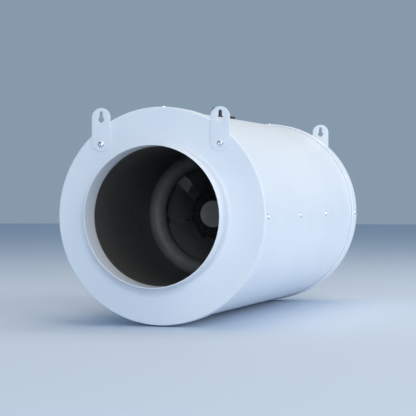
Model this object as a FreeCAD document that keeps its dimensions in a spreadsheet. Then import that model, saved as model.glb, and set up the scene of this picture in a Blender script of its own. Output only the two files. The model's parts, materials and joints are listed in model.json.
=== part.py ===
import FreeCAD, Part
import math
import operator
import os

import Sketcher

# An in-line duct fan: a rolled sheet casing closed by two flanged end caps, each with a duct collar
# and two swivelling hanging brackets, lined with black acoustic foam.  A mixed-flow fan unit with an
# external-rotor motor hangs inside on two sprung sheet brackets.
#
# The row frame: the origin is the centre of the inlet collar's free rim, +Y runs along the air path
# to the outlet, +Z is up and +X is to the right when looking into the inlet.  Millimetres throughout.

Vector = FreeCAD.Vector
doc = FreeCAD.newDocument("DuctFan")
sheet = doc.addObject("Spreadsheet::Sheet", "Sizes")
pieces = []


# ---------------------------------------------------------------------------------------------
# Sizes: every number is a cell of the sheet, and carries its own expression through the sums
# ---------------------------------------------------------------------------------------------

class Size:
    """A length, count or angle with the spreadsheet expression that it comes from."""

    def __init__(self, number, text):
        self.number = float(number)
        self.text = text

    def __float__(self):
        return self.number

    def __add__(self, other):
        return combined(self, "+", other)

    def __radd__(self, other):
        return combined(other, "+", self)

    def __sub__(self, other):
        return combined(self, "-", other)

    def __rsub__(self, other):
        return combined(other, "-", self)

    def __mul__(self, other):
        return combined(self, "*", other)

    def __rmul__(self, other):
        return combined(other, "*", self)

    def __truediv__(self, other):
        return combined(self, "/", other)

    def __neg__(self):
        return combined(0, "-", self)


SIGNS = {"+": operator.add, "-": operator.sub, "*": operator.mul, "/": operator.truediv}


def as_size(value):
    """A plain number as a Size; a Size as it is."""
    return value if isinstance(value, Size) else Size(value, str(float(value)))


def combined(left, sign, right):
    """The sum, difference, product or quotient of two sizes."""
    left = as_size(left)
    right = as_size(right)
    return Size(SIGNS[sign](left.number, right.number), f"({left.text} {sign} {right.text})")


def root(value):
    """The square root of a size."""
    return Size(math.sqrt(value.number), f"sqrt({value.text})")


def side(hypotenuse, other):
    """The other short side of a right-angled triangle."""
    return root(hypotenuse * hypotenuse - other * other)


row_count = 0


def size(alias, number, note):
    """A driving dimension: one row of the sheet with its name, its value and what it is."""
    global row_count
    row_count += 1
    sheet.set(f"A{row_count}", alias)
    sheet.set(f"B{row_count}", str(number))
    sheet.set(f"C{row_count}", note)
    sheet.setAlias(f"B{row_count}", alias)
    return Size(number, f"Sizes.{alias}")


# Clearances
fit = size("fit", 0.1, "gap between pieces that are screwed or pushed together")
running = size("running", 0.05, "radial clearance of a turning shaft or pivot")
rest_gap = size("rest_gap", 0.3, "gap between soft or curved neighbours")

# Casing and collars
duct_radius = size("duct_radius", 100, "outer radius of both duct collars, for a 200 mm duct")
collar_wall = size("collar_wall", 1.2, "sheet thickness of a collar")
collar_length = size("collar_length", 38, "free rim of a collar to the outer face of its end cap")
collar_flange = size("collar_flange", 11, "width of the collar's flange behind the end cap")
body_length = size("body_length", 592, "outer face to outer face of the end caps")
casing_radius = size("casing_radius", 151, "outer radius of the rolled casing")
casing_wall = size("casing_wall", 1.2, "sheet thickness of the casing")

# End caps
cap_step = size("cap_step", 3, "how far the skirt of a cap stands proud of the casing")
cap_wall = size("cap_wall", 1.5, "sheet thickness of an end cap")
skirt_length = size("skirt_length", 30, "length of the skirt that closes over the casing")
hem_length = size("hem_length", 4, "folded edge at the end of the skirt")
lip_height = size("lip_height", 4.4, "drawn lip round the collar hole")
lip_wall = size("lip_wall", 1.6, "thickness of the drawn lip")
neck_step = size("neck_step", 0.6, "how far a collar steps in where it passes its cap")
lip_fillet = size("lip_fillet", 3.2, "root radius of the drawn lip")
cap_edge = size("cap_edge", 1.2, "rounding of the outer edges of a cap")
cap_screw_inset = size("cap_screw_inset", 14.5, "cap face to the ring of skirt screws")

# Hanging brackets
bracket_width = size("bracket_width", 28, "width of a hanging bracket")
bracket_thickness = size("bracket_thickness", 2, "sheet thickness of a hanging bracket")
bracket_foot = size("bracket_foot", 9.7, "screw axis to the lower end of a bracket")
bracket_arm = size("bracket_arm", 51.8, "screw axis to the upper end of a bracket")
bracket_spacing = size("bracket_spacing", 177.2, "spacing of the two screws on a cap")
bracket_inset = size("bracket_inset", 19.4, "cap edge to the bracket screws' circle")
keyhole_radius = size("keyhole_radius", 4.5, "radius of the round part of a keyhole")
keyhole_height = size("keyhole_height", 35.4, "screw axis to the round part of a keyhole")
keyhole_slot_width = size("keyhole_slot_width", 5.5, "width of the narrow part of a keyhole")
keyhole_slot_rise = size("keyhole_slot_rise", 9.1, "round part to the top of the narrow part")
bracket_screw_radius = size("bracket_screw_radius", 2.5, "shank radius of a bracket screw")
pivot_head = size("pivot_head", 4.75, "head radius of a bracket screw")
pivot_head_height = size("pivot_head_height", 2.6, "head height of a bracket screw")
pivot_reach = size("pivot_reach", 6, "tip of a bracket screw behind its cap")
rivet_wall = size("rivet_wall", 2, "rivet nut's outside beyond the screw")
rivet_length = size("rivet_length", 5.5, "length of a rivet nut behind its cap")

# Screws
thread_radius = size("thread_radius", 1.9, "shank radius of the casing screws")
button_radius = size("button_radius", 4, "head radius of the casing screws")
button_height = size("button_height", 2, "head height of the casing screws")
cap_screw_reach = size("cap_screw_reach", 5.5, "casing surface to the tip of a skirt screw")
rail_screw_reach = size("rail_screw_reach", 9, "casing surface to the tip of a fan screw")
head_rounding = size("head_rounding", 0.8, "share of a button head's height that is rounded")
flange_head = size("flange_head", 2.8, "head radius of a flange screw")
flange_head_height = size("flange_head_height", 1.9, "head height of a flange screw")
screw_tip = size("screw_tip", 1, "difference of a screw's tip from the far face of what it holds")

# Acoustic lining
facing_wall = size("facing_wall", 0.8, "thickness of the black facing of the lining")
facing_overlap = size("facing_overlap", 1.5, "how far the facing enters the collar")
foam_setback = size("foam_setback", 20, "cap face to the foam")
sleeve_radius = size("sleeve_radius", 122, "outer radius of the foam sleeve beside the bell mouth")
wrap_inner = size("wrap_inner", 112, "inner radius of the foam round the fan unit")
slot_margin = size("slot_margin", 4, "gap beside a fan bracket in the foam round the fan")
entry_pocket = size("entry_pocket", 14, "radius of the pockets in that foam under the gland and the socket")

# Fan unit
bell_setback = size("bell_setback", 234, "front cap face to the centre of the bell mouth's lip")
bell_minor = size("bell_minor", 13.5, "radius of the rolled lip of the bell mouth")
bell_overhang = size("bell_overhang", 2.2, "how far the lip reaches behind the lining")
bell_wall = size("bell_wall", 2.5, "wall of the bell mouth")
bell_throat = size("bell_throat", 4, "lip centre to the rear face of the bell mouth")
joint_flange = size("joint_flange", 2.6, "thickness of the flanges between bell mouth and housing")
joint_width = size("joint_width", 14, "width of those flanges outside the throat")
joint_hole = size("joint_hole", 1.7, "radius of the screw holes in those flanges")
joint_edge = size("joint_edge", 5, "screw holes to the outer edge of those flanges")
housing_wall = size("housing_wall", 2.8, "wall of the fan housing")
housing_cone = size("housing_cone", 52, "length of the widening part of the housing")
housing_length = size("housing_length", 147, "length of the fan housing")
housing_neck = size("housing_neck", 2, "straight bore behind the housing's front flange")
outlet_rim = size("outlet_rim", 3, "width of the housing's outlet rim")
outlet_step = size("outlet_step", 5, "facing to the bore of the housing's outlet")
tip_gap = size("tip_gap", 1.2, "running gap outside the blade tips")

# Fan brackets
rail_width = size("rail_width", 24, "width of a fan bracket")
rail_wall = size("rail_wall", 2, "sheet thickness of a fan bracket")
rail_front_screw = size("rail_front_screw", 28, "front fan screw, ahead of the lip centre")
rail_rear_screw = size("rail_rear_screw", 136.6, "rear fan screw, behind the lip centre")
rail_end = size("rail_end", 10, "fan screw to the end of the bracket")
rail_rear_leg = size("rail_rear_leg", 114, "lip centre to the rear leg of the bracket")
seat_gap = size("seat_gap", 2, "bell mouth to the seat of the bracket")
isolator_length = size("isolator_length", 5, "thickness of a rubber isolator")
isolator_radius = size("isolator_radius", 8, "radius of a rubber isolator")
isolator_front = size("isolator_front", 28, "lip centre to the front isolator")
isolator_rear = size("isolator_rear", 93, "lip centre to the rear isolator")
isolator_bolt = size("isolator_bolt", 2.5, "shank radius of an isolator bolt")
boss_radius = size("boss_radius", 9, "radius of the housing's side bosses")
bolt_head = size("bolt_head", 4.6, "head radius of an isolator bolt")
bolt_head_height = size("bolt_head_height", 3, "head height of an isolator bolt")
weld_nut_flats = size("weld_nut_flats", 7, "width across the flats of a weld nut")
weld_nut_height = size("weld_nut_height", 3.2, "height of a weld nut")

# Rotor
blade_count = size("blade_count", 7, "blades of the impeller")
blade_wrap = size("blade_wrap", 45, "angle between the two edges of a blade")
blade_lead = size("blade_lead", 138.5, "angle of a leading tip, from +X towards +Z")
blade_sweep = size("blade_sweep", 8, "how far a blade root trails its tip")
blade_thickness = size("blade_thickness", 2.4, "thickness of a blade")
blade_rake = size("blade_rake", 10, "how far the leading tips stand ahead of the leading roots")
blade_overhang = size("blade_overhang", 3, "nose cap face to the front limit of the blades")
blade_tail = size("blade_tail", 2, "rear limit of the blades to the hub's rear edge")
root_tail = size("root_tail", 3, "trailing roots to the rear limit of the blades")
tip_tail = size("tip_tail", 1, "trailing tips to the rear limit of the blades")
root_bow = size("root_bow", 1.5, "bow of a blade at its root")
tip_bow = size("tip_bow", 4, "bow of a blade at its tip")
root_bite = size("root_bite", 1, "how deep the blade roots sit in the hub")
nose_setback = size("nose_setback", 12.5, "lip centre to the face of the nose cap")
nose_radius = size("nose_radius", 20.7, "radius of the nose cap")
nose_wall = size("nose_wall", 2.5, "nose cap face to the hub")
nose_face = size("nose_face", 2, "wall of the nose cap's face")
nose_edge = size("nose_edge", 0.75, "rounding of the nose cap's edge")
nose_spigot = size("nose_spigot", 2.8, "step from the nose cap's edge to its spigot")
nose_spigot_length = size("nose_spigot_length", 3, "how far the spigot enters the hub")
hub_front = size("hub_front", 34, "hub radius at the blade roots' front")
hub_rear = size("hub_rear", 49, "hub radius at its rear edge")
hub_wall = size("hub_wall", 2.5, "wall of the hub")
hub_rim = size("hub_rim", 0.8, "how far the hub's front edge stands outside the nose cap")
hub_slope = size("hub_slope", 6, "hub's front edge to the front of the blade roots")
hub_swell = size("hub_swell", 9, "how far the hub widens to its middle")
hub_middle = size("hub_middle", 22, "hub's front edge to its middle")
can_seat = size("can_seat", 17, "hub's front edge to the rear of its seat on the rotor can")
web_clear = size("web_clear", 5, "shaft to the edge of the hole in the hub's web")
hub_length = size("hub_length", 45, "length of the hub behind the nose cap")
vent_count = size("vent_count", 18, "cooling slots round the hub's front")
vent_half = size("vent_half", 0.8, "half width of a cooling slot")
vent_start = size("vent_start", 4.5, "nose cap to the inner end of a cooling slot")
vent_stop = size("vent_stop", 1, "outer end of a cooling slot to the blade roots")
vent_depth = size("vent_depth", 7.5, "how far a cooling slot reaches behind the hub's front edge")
can_radius = size("can_radius", 33, "outer radius of the motor's rotor can")
can_wall = size("can_wall", 2, "wall of the rotor can")
can_length = size("can_length", 36, "length of the rotor can")
can_setback = size("can_setback", 11.5, "nose cap face to the rotor can")
can_boss = size("can_boss", 4, "wall of the rotor can's boss on the shaft")
can_boss_length = size("can_boss_length", 2.5, "length of that boss inside the can")
magnet_wall = size("magnet_wall", 2.8, "thickness of the magnet ring")
magnet_front = size("magnet_front", 8, "front of the rotor can to the magnets")
magnet_rear = size("magnet_rear", 2, "magnets to the rear edge of the rotor can")
air_gap = size("air_gap", 0.8, "magnetic gap between magnets and stator")
shaft_radius = size("shaft_radius", 3, "radius of the motor shaft")
shaft_nose = size("shaft_nose", 1, "how far the shaft stands out in front of the rotor can")
shaft_tail = size("shaft_tail", 10, "front of the guide vanes' hub to the shaft's end")
groove_setback = size("groove_setback", 4, "front of the guide vanes' hub to the clip's groove")
groove_depth = size("groove_depth", 0.5, "depth of the clip's groove")
clip_wall = size("clip_wall", 0.8, "thickness of the retaining clip")
clip_width = size("clip_width", 2, "how far the retaining clip stands out of the shaft")
clip_gap = size("clip_gap", 1.2, "half width of the retaining clip's opening")

# Motor and guide vanes
vane_count = size("vane_count", 9, "guide vanes behind the impeller")
vane_wall = size("vane_wall", 2.4, "thickness of a guide vane")
vane_length = size("vane_length", 50, "length of the guide vanes")
vane_lead = size("vane_lead", 16, "angle of a vane's front edge")
vane_trail = size("vane_trail", 4, "angle of a vane's rear edge")
vane_bow = size("vane_bow", 3, "bow of a vane")
vane_inset = size("vane_inset", 1, "vanes' edges inside the edges of their ring")
vane_bite = size("vane_bite", 1.2, "how deep the vanes sit in their hub")
vane_gap = size("vane_gap", 4, "impeller hub to the guide vanes' hub")
carrier_length = size("carrier_length", 58, "length of the guide vanes' hub")
carrier_tail = size("carrier_tail", 44, "rear radius of the guide vanes' hub")
carrier_front = size("carrier_front", 3, "front wall of the guide vanes' hub")
carrier_clear = size("carrier_clear", 4, "bearing tube to the hole in that wall")
cover_wall = size("cover_wall", 2.5, "thickness of the motor cover")
cover_edge = size("cover_edge", 1.75, "rounding of the motor cover's edge")
ring_wall = size("ring_wall", 2.6, "wall of the ring outside the guide vanes")
ring_setback = size("ring_setback", 2, "front of the guide vanes' hub to their ring")
bearing_radius = size("bearing_radius", 7.5, "outer radius of a motor bearing")
bearing_width = size("bearing_width", 5, "width of a motor bearing")
bearing_inset = size("bearing_inset", 0.5, "bearing to the end of its tube")
race_wall = size("race_wall", 1.3, "visible width of a bearing race")
race_recess = size("race_recess", 0.3, "how deep a bearing's shields lie")
tube_wall = size("tube_wall", 2.5, "wall of the bearing tube")
tube_gap = size("tube_gap", 4, "front wall of the rotor can to the bearing tube")
flange_radius = size("flange_radius", 38, "radius of the motor flange")
flange_wall = size("flange_wall", 4, "thickness of the motor flange")
flange_edge = size("flange_edge", 5, "screw holes to the edge of the motor flange")
motor_hole = size("motor_hole", 2.1, "radius of the motor's screw holes")
motor_head = size("motor_head", 3.6, "head radius of a motor screw")
motor_head_height = size("motor_head_height", 2.4, "head height of a motor screw")
tooth_count = size("tooth_count", 9, "teeth of the stator")
stack_length = size("stack_length", 20, "length of the stator's stack")
stack_offset = size("stack_offset", 14, "front of the bearing tube to the middle of the stack")
yoke_wall = size("yoke_wall", 4, "wall of the stator's yoke")
shoe_reach = size("shoe_reach", 4.8, "how far a tooth's shoe stands out on each side")
shoe_wall = size("shoe_wall", 1.6, "thickness of a tooth's shoe")
tooth_width = size("tooth_width", 4.4, "width of a stator tooth")
coil_wall = size("coil_wall", 3.2, "build of a winding")
coil_gap = size("coil_gap", 2, "yoke to a winding, and winding to the face of its shoe")
board_wall = size("board_wall", 1.6, "thickness of the driver board")
board_gap = size("board_gap", 1, "driver board to the motor flange")
board_edge = size("board_edge", 4, "driver board to the rotor can")

# Top entries
gland_offset = size("gland_offset", 43, "lip centre to the cable gland")
gland_thread = size("gland_thread", 8, "thread radius of the cable gland")
gland_flats = size("gland_flats", 20, "width across the flats of the gland's hexagon")
gland_hex = size("gland_hex", 4.6, "height of the gland's hexagon")
gland_nut_radius = size("gland_nut_radius", 10.6, "radius of the gland's domed nut")
gland_nut_height = size("gland_nut_height", 11.6, "height of the gland's domed nut")
gland_nut_wall = size("gland_nut_wall", 2.4, "domed nut's outside to the gland's neck")
gland_nut_top = size("gland_nut_top", 3, "thickness of the domed nut's top")
gland_nut_flat = size("gland_nut_flat", 1.2, "flat ring round the domed nut's hole")
gland_neck = size("gland_neck", 5, "height of the gland's neck inside the domed nut")
gland_tail = size("gland_tail", 9, "length of the gland's thread below the casing's top")
lock_nut_height = size("lock_nut_height", 3.6, "height of the gland's lock nut")
cable_radius = size("cable_radius", 4.2, "bore of the gland's rubber seal")
seal_lip = size("seal_lip", 0.6, "how far the seal stands into the gland's bore")
seal_gap = size("seal_gap", 0.4, "outside of the gland's neck to the outside of the seal")
gland_washer = size("gland_washer", 0.8, "thickness of the gland's washer")
socket_offset = size("socket_offset", 111, "lip centre to the control socket")
socket_width = size("socket_width", 9, "width of the control socket")
socket_length = size("socket_length", 15, "length of the control socket")
socket_height = size("socket_height", 5.5, "height of the control socket")
jack_radius = size("jack_radius", 1.9, "bore of the control socket")
stem_step = size("stem_step", 0.6, "side of the socket to its round stem")
stem_length = size("stem_length", 8, "length of the socket's stem, half of it inside the casing")
socket_nut_flats = size("socket_nut_flats", 12, "width across the flats of the socket's nut")
socket_nut_height = size("socket_nut_height", 2, "height of the socket's nut")

# What follows from them
total_length = body_length + 2 * collar_length
duct_inner = duct_radius - collar_wall
cap_radius = casing_radius + cap_step
casing_inner = casing_radius - casing_wall
cap_inner = collar_length + cap_wall
bell_y = collar_length + bell_setback
facing_outer = duct_inner - fit
facing_inner = facing_outer - facing_wall
bell_major = duct_inner + bell_overhang - bell_minor
bell_outer = bell_major + bell_minor
throat = bell_major - bell_minor
housing_y = bell_y + bell_throat
housing_end = housing_y + housing_length
outlet_inner = facing_inner - outlet_step
nose_y = bell_y + nose_setback
hub_y = nose_y + nose_wall
hub_end = hub_y + hub_length
carrier_y = hub_end + vane_gap
bracket_circle = cap_radius - bracket_inset
bracket_x = bracket_spacing / 2
bracket_z = side(bracket_circle, bracket_x)
bracket_hole = bracket_screw_radius + running
rail_x = side(casing_inner, rail_width / 2) - fit
seat_x = bell_outer + seat_gap
rail_front = bell_y - rail_front_screw
rail_rear = bell_y + rail_rear_screw
gland_y = bell_y + gland_offset
socket_y = bell_y + socket_offset
stem_radius = socket_width / 2 - stem_step


# ---------------------------------------------------------------------------------------------
# Building blocks
# ---------------------------------------------------------------------------------------------

START = 1
END = 2
CENTRE = 3
ORIGIN = -1
HORIZONTAL_AXIS = -1
VERTICAL_AXIS = -2


def bind(item, name, value):
    """Ties a property, a constraint or a placement of an object to the sheet."""
    item.setExpression(name, as_size(value).text)


def move_to(item, across=0, along=0, up=0, axis=None, angle=0):
    """Places an object: an optional turn about an axis, and its three coordinates from the sheet."""
    if axis is not None:
        item.Placement = FreeCAD.Placement(Vector(0, 0, 0), FreeCAD.Rotation(axis, angle))
    for letter, value in (("x", across), ("y", along), ("z", up)):
        if isinstance(value, Size):
            bind(item, f"Placement.Base.{letter}", value)


def body(label):
    """An empty body that will become the piece of that name."""
    item = doc.addObject("PartDesign::Body", label)
    item.Label = label
    return item


def piece(item, label):
    """Marks a finished object as a piece of the fan, under its name."""
    item.Label = label
    pieces.append(item)
    return item


def sketch_on(owner, plane, name):
    """A sketch on one of the body's own origin planes."""
    sketch = owner.newObject("Sketcher::SketchObject", name)
    planes = [item for item in owner.Origin.OriginFeatures if item.Role == plane]
    sketch.AttachmentSupport = [(planes[0], "")]
    sketch.MapMode = "FlatFace"
    return sketch


def fix_point(sketch, geometry, end, across=None, up=None):
    """Ties one point of a sketch to its two coordinates; None leaves a coordinate free."""
    for kind, axis, value in (("DistanceX", VERTICAL_AXIS, across), ("DistanceY", HORIZONTAL_AXIS, up)):
        if value is None:
            continue
        if isinstance(value, Size):
            number = sketch.addConstraint(
                Sketcher.Constraint(kind, ORIGIN, START, geometry, end, value.number))
            bind(sketch, f"Constraints[{number}]", value)
        else:
            sketch.addConstraint(Sketcher.Constraint("PointOnObject", geometry, end, axis))


def fix_radius(sketch, geometry, radius):
    """Ties the radius of a circle or an arc."""
    number = sketch.addConstraint(Sketcher.Constraint("Radius", geometry, float(radius)))
    bind(sketch, f"Constraints[{number}]", radius)


def join_ends(sketch, first, first_end, second, second_end):
    """Makes two ends meet."""
    sketch.addConstraint(Sketcher.Constraint("Coincident", first, first_end, second, second_end))


def outline(sketch, corners):
    """A closed outline of straight lines through the corners, each tied to the sheet."""
    points = [Vector(float(across), float(up), 0) for across, up in corners]
    first = len(sketch.Geometry)
    count = len(points)
    for number in range(count):
        sketch.addGeometry(Part.LineSegment(points[number], points[(number + 1) % count]), False)
    for number in range(count):
        join_ends(sketch, first + number, END, first + (number + 1) % count, START)
    for number, (across, up) in enumerate(corners):
        fix_point(sketch, first + number, START, across, up)


def circle(sketch, across, up, radius):
    """A circle tied to its centre and radius."""
    centre = Vector(float(across), float(up), 0)
    number = sketch.addGeometry(Part.Circle(centre, Vector(0, 0, 1), float(radius)), False)
    fix_radius(sketch, number, radius)
    fix_point(sketch, number, CENTRE, across, up)


def stadium(sketch, low, high, radius):
    """An upright slot outline on the sketch's vertical axis, between two end centres."""
    reach = float(radius)
    bottom = Part.Circle(Vector(0, float(low), 0), Vector(0, 0, 1), reach)
    top = Part.Circle(Vector(0, float(high), 0), Vector(0, 0, 1), reach)
    lower = sketch.addGeometry(Part.ArcOfCircle(bottom, math.pi, 2 * math.pi), False)
    upper = sketch.addGeometry(Part.ArcOfCircle(top, 0, math.pi), False)
    right = sketch.addGeometry(
        Part.LineSegment(Vector(reach, float(low), 0), Vector(reach, float(high), 0)), False)
    left = sketch.addGeometry(
        Part.LineSegment(Vector(-reach, float(high), 0), Vector(-reach, float(low), 0)), False)
    join_ends(sketch, lower, END, right, START)
    join_ends(sketch, right, END, upper, START)
    join_ends(sketch, upper, END, left, START)
    join_ends(sketch, left, END, lower, START)
    for arc, height in ((lower, low), (upper, high)):
        fix_radius(sketch, arc, radius)
        fix_point(sketch, arc, CENTRE, 0, height)
        fix_point(sketch, arc, START, None, height)
        fix_point(sketch, arc, END, None, height)


def turn(owner, sketch, name="Turned"):
    """Turns a sketch once round its vertical axis into a solid."""
    feature = owner.newObject("PartDesign::Revolution", name)
    feature.Profile = sketch
    feature.ReferenceAxis = (sketch, ["V_Axis"])
    feature.Angle = 360
    return feature


def hollow(owner, corners, name="Hollow"):
    """Turns an outline once round the Y axis and takes it away."""
    sketch = sketch_on(owner, "XY_Plane", name + "Outline")
    outline(sketch, corners)
    feature = owner.newObject("PartDesign::Groove", name)
    feature.Profile = sketch
    feature.ReferenceAxis = (sketch, ["V_Axis"])
    feature.Angle = 360
    return feature


def turned(label, corners, plane="XY_Plane"):
    """A turned body: round the Y axis on XY_Plane, round the Z axis on XZ_Plane."""
    item = body(label)
    sketch = sketch_on(item, plane, "Outline")
    outline(sketch, corners)
    turn(item, sketch)
    return item


def pad(owner, sketch, length, name="Pad", symmetric=False):
    """Thickens a sketch."""
    feature = owner.newObject("PartDesign::Pad", name)
    feature.Profile = sketch
    bind(feature, "Length", length)
    if symmetric:
        feature.SideType = "Symmetric"
    return feature


def cut_through(owner, sketch, name, one_way=False):
    """Cuts a sketch right through: both ways, or only along the sketch's own normal."""
    feature = owner.newObject("PartDesign::Pocket", name)
    feature.Profile = sketch
    feature.Type = "ThroughAll"
    if one_way:
        feature.Reversed = True
    else:
        feature.SideType = "Symmetric"
    return feature


def drill(owner, plane, name, holes, one_way=False):
    """Round holes right through, each given by its centre and radius."""
    sketch = sketch_on(owner, plane, name + "Circles")
    for across, up, radius in holes:
        circle(sketch, across, up, radius)
    return cut_through(owner, sketch, name, one_way)


def repeat_round(owner, feature, count, name="Ring"):
    """Repeats a feature evenly round the body's own Y axis."""
    pattern = owner.newObject("PartDesign::PolarPattern", name)
    pattern.Originals = [feature]
    axes = [item for item in owner.Origin.OriginFeatures if item.Role == "Y_Axis"]
    pattern.Axis = (axes[0], [""])
    pattern.Angle = 360
    bind(pattern, "Occurrences", count)
    owner.Tip = pattern
    return pattern


def round_edges(owner, radius, rims, name="Rounding"):
    """Rounds the circular edges given by their radius and their height along an axis."""
    doc.recompute()
    tip = owner.Tip
    names = []
    for number, edge in enumerate(tip.Shape.Edges):
        curve = edge.Curve
        if not isinstance(curve, Part.Circle):
            continue
        for rim_radius, axis, height in rims:
            centre = (curve.Center.x, curve.Center.y, curve.Center.z)["xyz".index(axis)]
            same_radius = abs(curve.Radius - float(rim_radius)) < 1e-4
            if same_radius and abs(centre - float(height)) < 1e-4:
                names.append(f"Edge{number + 1}")
    feature = owner.newObject("PartDesign::Fillet", name)
    feature.Base = (tip, names)
    bind(feature, "Radius", radius)
    return feature


def copies(label, original, places):
    """Identical pieces in one node: linked copies of a body at (x, y, z, axis, angle)."""
    links = []
    for number, (across, along, up, axis, angle) in enumerate(places):
        link = doc.addObject("App::Link", f"{label}_copy{number + 1}")
        link.LinkedObject = original
        link.LinkTransform = False
        move_to(link, across, along, up, axis, angle)
        links.append(link)
    group = doc.addObject("Part::Compound", label)
    group.Links = links
    return piece(group, label)


AXIS_X = Vector(1, 0, 0)
AXIS_Y = Vector(0, 1, 0)


def button_screw(label, head_radius, head_height, shank_radius, reach):
    """A button-head screw about Z: its head stands on z = 0, its shank goes down."""
    screw = turned(label, [
        (0, head_height), (head_radius, head_height), (head_radius, 0), (shank_radius, 0),
        (shank_radius, -reach), (0, -reach)], "XZ_Plane")
    round_edges(screw, head_height * head_rounding, [(head_radius, "z", head_height)])
    return screw


def hexagon(sketch, flats):
    """A hexagon round the sketch's origin, given by its width across the flats."""
    corner = flats / math.sqrt(3)
    half = corner / 2
    apothem = flats / 2
    outline(sketch, [
        (corner, 0), (half, apothem), (-half, apothem), (-corner, 0), (-half, -apothem),
        (half, -apothem)])


def front(distance):
    """A place measured from the inlet rim."""
    return distance


def rear(distance):
    """The mirrored place, measured from the outlet rim."""
    return total_length - distance


ENDS = (("front", "inlet", front), ("rear", "outlet", rear))


# ---------------------------------------------------------------------------------------------
# Casing, caps and collars
# ---------------------------------------------------------------------------------------------

def make_casing():
    """The rolled casing with its screw holes and the two openings on top."""
    start = cap_inner + fit
    casing = turned("outer_casing", [
        (casing_inner, start), (casing_radius, start), (casing_radius, rear(start)),
        (casing_inner, rear(start))])
    hole = thread_radius + fit
    rows = [station(collar_length + cap_screw_inset) for _, _, station in ENDS]
    drill(casing, "XY_Plane", "TopAndBottomHoles", [(0, row, hole) for row in rows])
    sides = rows + [rail_front, rail_rear]
    drill(casing, "YZ_Plane", "SideHoles", [(row, 0, hole) for row in sides])
    entries = [(0, gland_y, gland_thread + fit), (0, socket_y, stem_radius + fit)]
    drill(casing, "XY_Plane", "TopEntries", entries, one_way=True)
    piece(casing, "outer_casing")


def make_end_cap(name, station):
    """An end cap: ring face, skirt with a folded hem, and a drawn lip round the collar."""
    bore = duct_radius - neck_step + fit
    face = collar_length
    inside = cap_radius - cap_wall
    skirt_end = face + skirt_length
    hem_start = skirt_end - hem_length
    hem_radius = casing_radius + fit
    cap = turned(name, [
        (bore, station(face - lip_height)),
        (bore + lip_wall, station(face - lip_height)),
        (bore + lip_wall, station(face)),
        (cap_radius, station(face)),
        (cap_radius, station(skirt_end)),
        (hem_radius, station(skirt_end)),
        (hem_radius, station(hem_start)),
        (inside, station(hem_start)),
        (inside, station(face + cap_wall)),
        (bore, station(face + cap_wall))])
    round_edges(cap, lip_fillet, [(bore + lip_wall, "y", station(face))], "LipRoot")
    edges = [(cap_radius, "y", station(face)), (cap_radius, "y", station(skirt_end))]
    round_edges(cap, cap_edge, edges, "OuterEdges")
    row = station(face + cap_screw_inset)
    hole = thread_radius + fit
    drill(cap, "XY_Plane", "TopAndBottomHoles", [(0, row, hole)])
    drill(cap, "YZ_Plane", "SideHoles", [(row, 0, hole)])
    pivot = bracket_screw_radius + fit
    drill(cap, "XZ_Plane", "PivotHoles", [(bracket_x, bracket_z, pivot), (-bracket_x, bracket_z, pivot)])
    piece(cap, name)


def make_collar(name, station):
    """A duct collar with the flange that is fixed behind its cap."""
    flange_end = cap_inner + collar_wall
    neck = duct_radius - neck_step
    collar = turned(name, [
        (duct_inner, station(0)),
        (duct_radius, station(0)),
        (duct_radius, station(collar_length - lip_height)),
        (neck, station(collar_length - lip_height)),
        (neck, station(cap_inner)),
        (duct_radius + collar_flange, station(cap_inner)),
        (duct_radius + collar_flange, station(flange_end)),
        (duct_inner, station(flange_end))])
    piece(collar, name)


# ---------------------------------------------------------------------------------------------
# Hanging brackets and casing screws
# ---------------------------------------------------------------------------------------------

def make_bracket(name, across, along):
    """A hanging bracket: a strap with rounded ends, a pivot hole and a keyhole."""
    half_width = bracket_width / 2
    bracket = body(name)
    strap = sketch_on(bracket, "XZ_Plane", "Strap")
    stadium(strap, half_width - bracket_foot, bracket_arm - half_width, half_width)
    pad(bracket, strap, bracket_thickness)
    holes = [(0, 0, bracket_hole), (0, keyhole_height, keyhole_radius)]
    drill(bracket, "XZ_Plane", "PivotAndKeyhole", holes)
    slot = sketch_on(bracket, "XZ_Plane", "Slot")
    stadium(slot, keyhole_height, keyhole_height + keyhole_slot_rise, keyhole_slot_width / 2)
    cut_through(bracket, slot, "KeyholeSlot")
    move_to(bracket, across, along, bracket_z)
    piece(bracket, name)


def make_brackets():
    """Two brackets on each cap, with their screws and the rivet nuts behind the cap."""
    screw = button_screw("bracket_screw", pivot_head, pivot_head_height, bracket_screw_radius,
                         bracket_thickness + 2 * fit + cap_wall + pivot_reach)
    nut_end = cap_wall + rivet_length
    nut_bore = bracket_screw_radius + fit
    nut_outside = bracket_screw_radius + rivet_wall
    nut = turned("rivet_nut", [
        (nut_bore, -cap_wall), (nut_outside, -cap_wall), (nut_outside, -nut_end),
        (nut_bore, -nut_end)], "XZ_Plane")
    screw_places = []
    nut_places = []
    for end, _, station in ENDS:
        is_front = station is front
        outer = station(collar_length - fit)
        angle = 90 if is_front else -90
        head = station(collar_length - 2 * fit - bracket_thickness)
        face = station(collar_length)
        strap = outer if is_front else outer + bracket_thickness
        for hand, across in (("left", -bracket_x), ("right", bracket_x)):
            make_bracket(f"bracket_{end}_{hand}", across, strap)
            screw_places.append((across, head, bracket_z, AXIS_X, angle))
            nut_places.append((across, face, bracket_z, AXIS_X, angle))
    copies("bracket_screws", screw, screw_places)
    copies("rivet_nuts", nut, nut_places)


def clock_places(radius, along):
    """Places at twelve, three, six and nine o'clock, with Z turned outwards."""
    return [
        (0, along, radius, AXIS_Y, 0),
        (radius, along, 0, AXIS_Y, 90),
        (0, along, -radius, AXIS_Y, 180),
        (-radius, along, 0, AXIS_Y, 270)]


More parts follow.
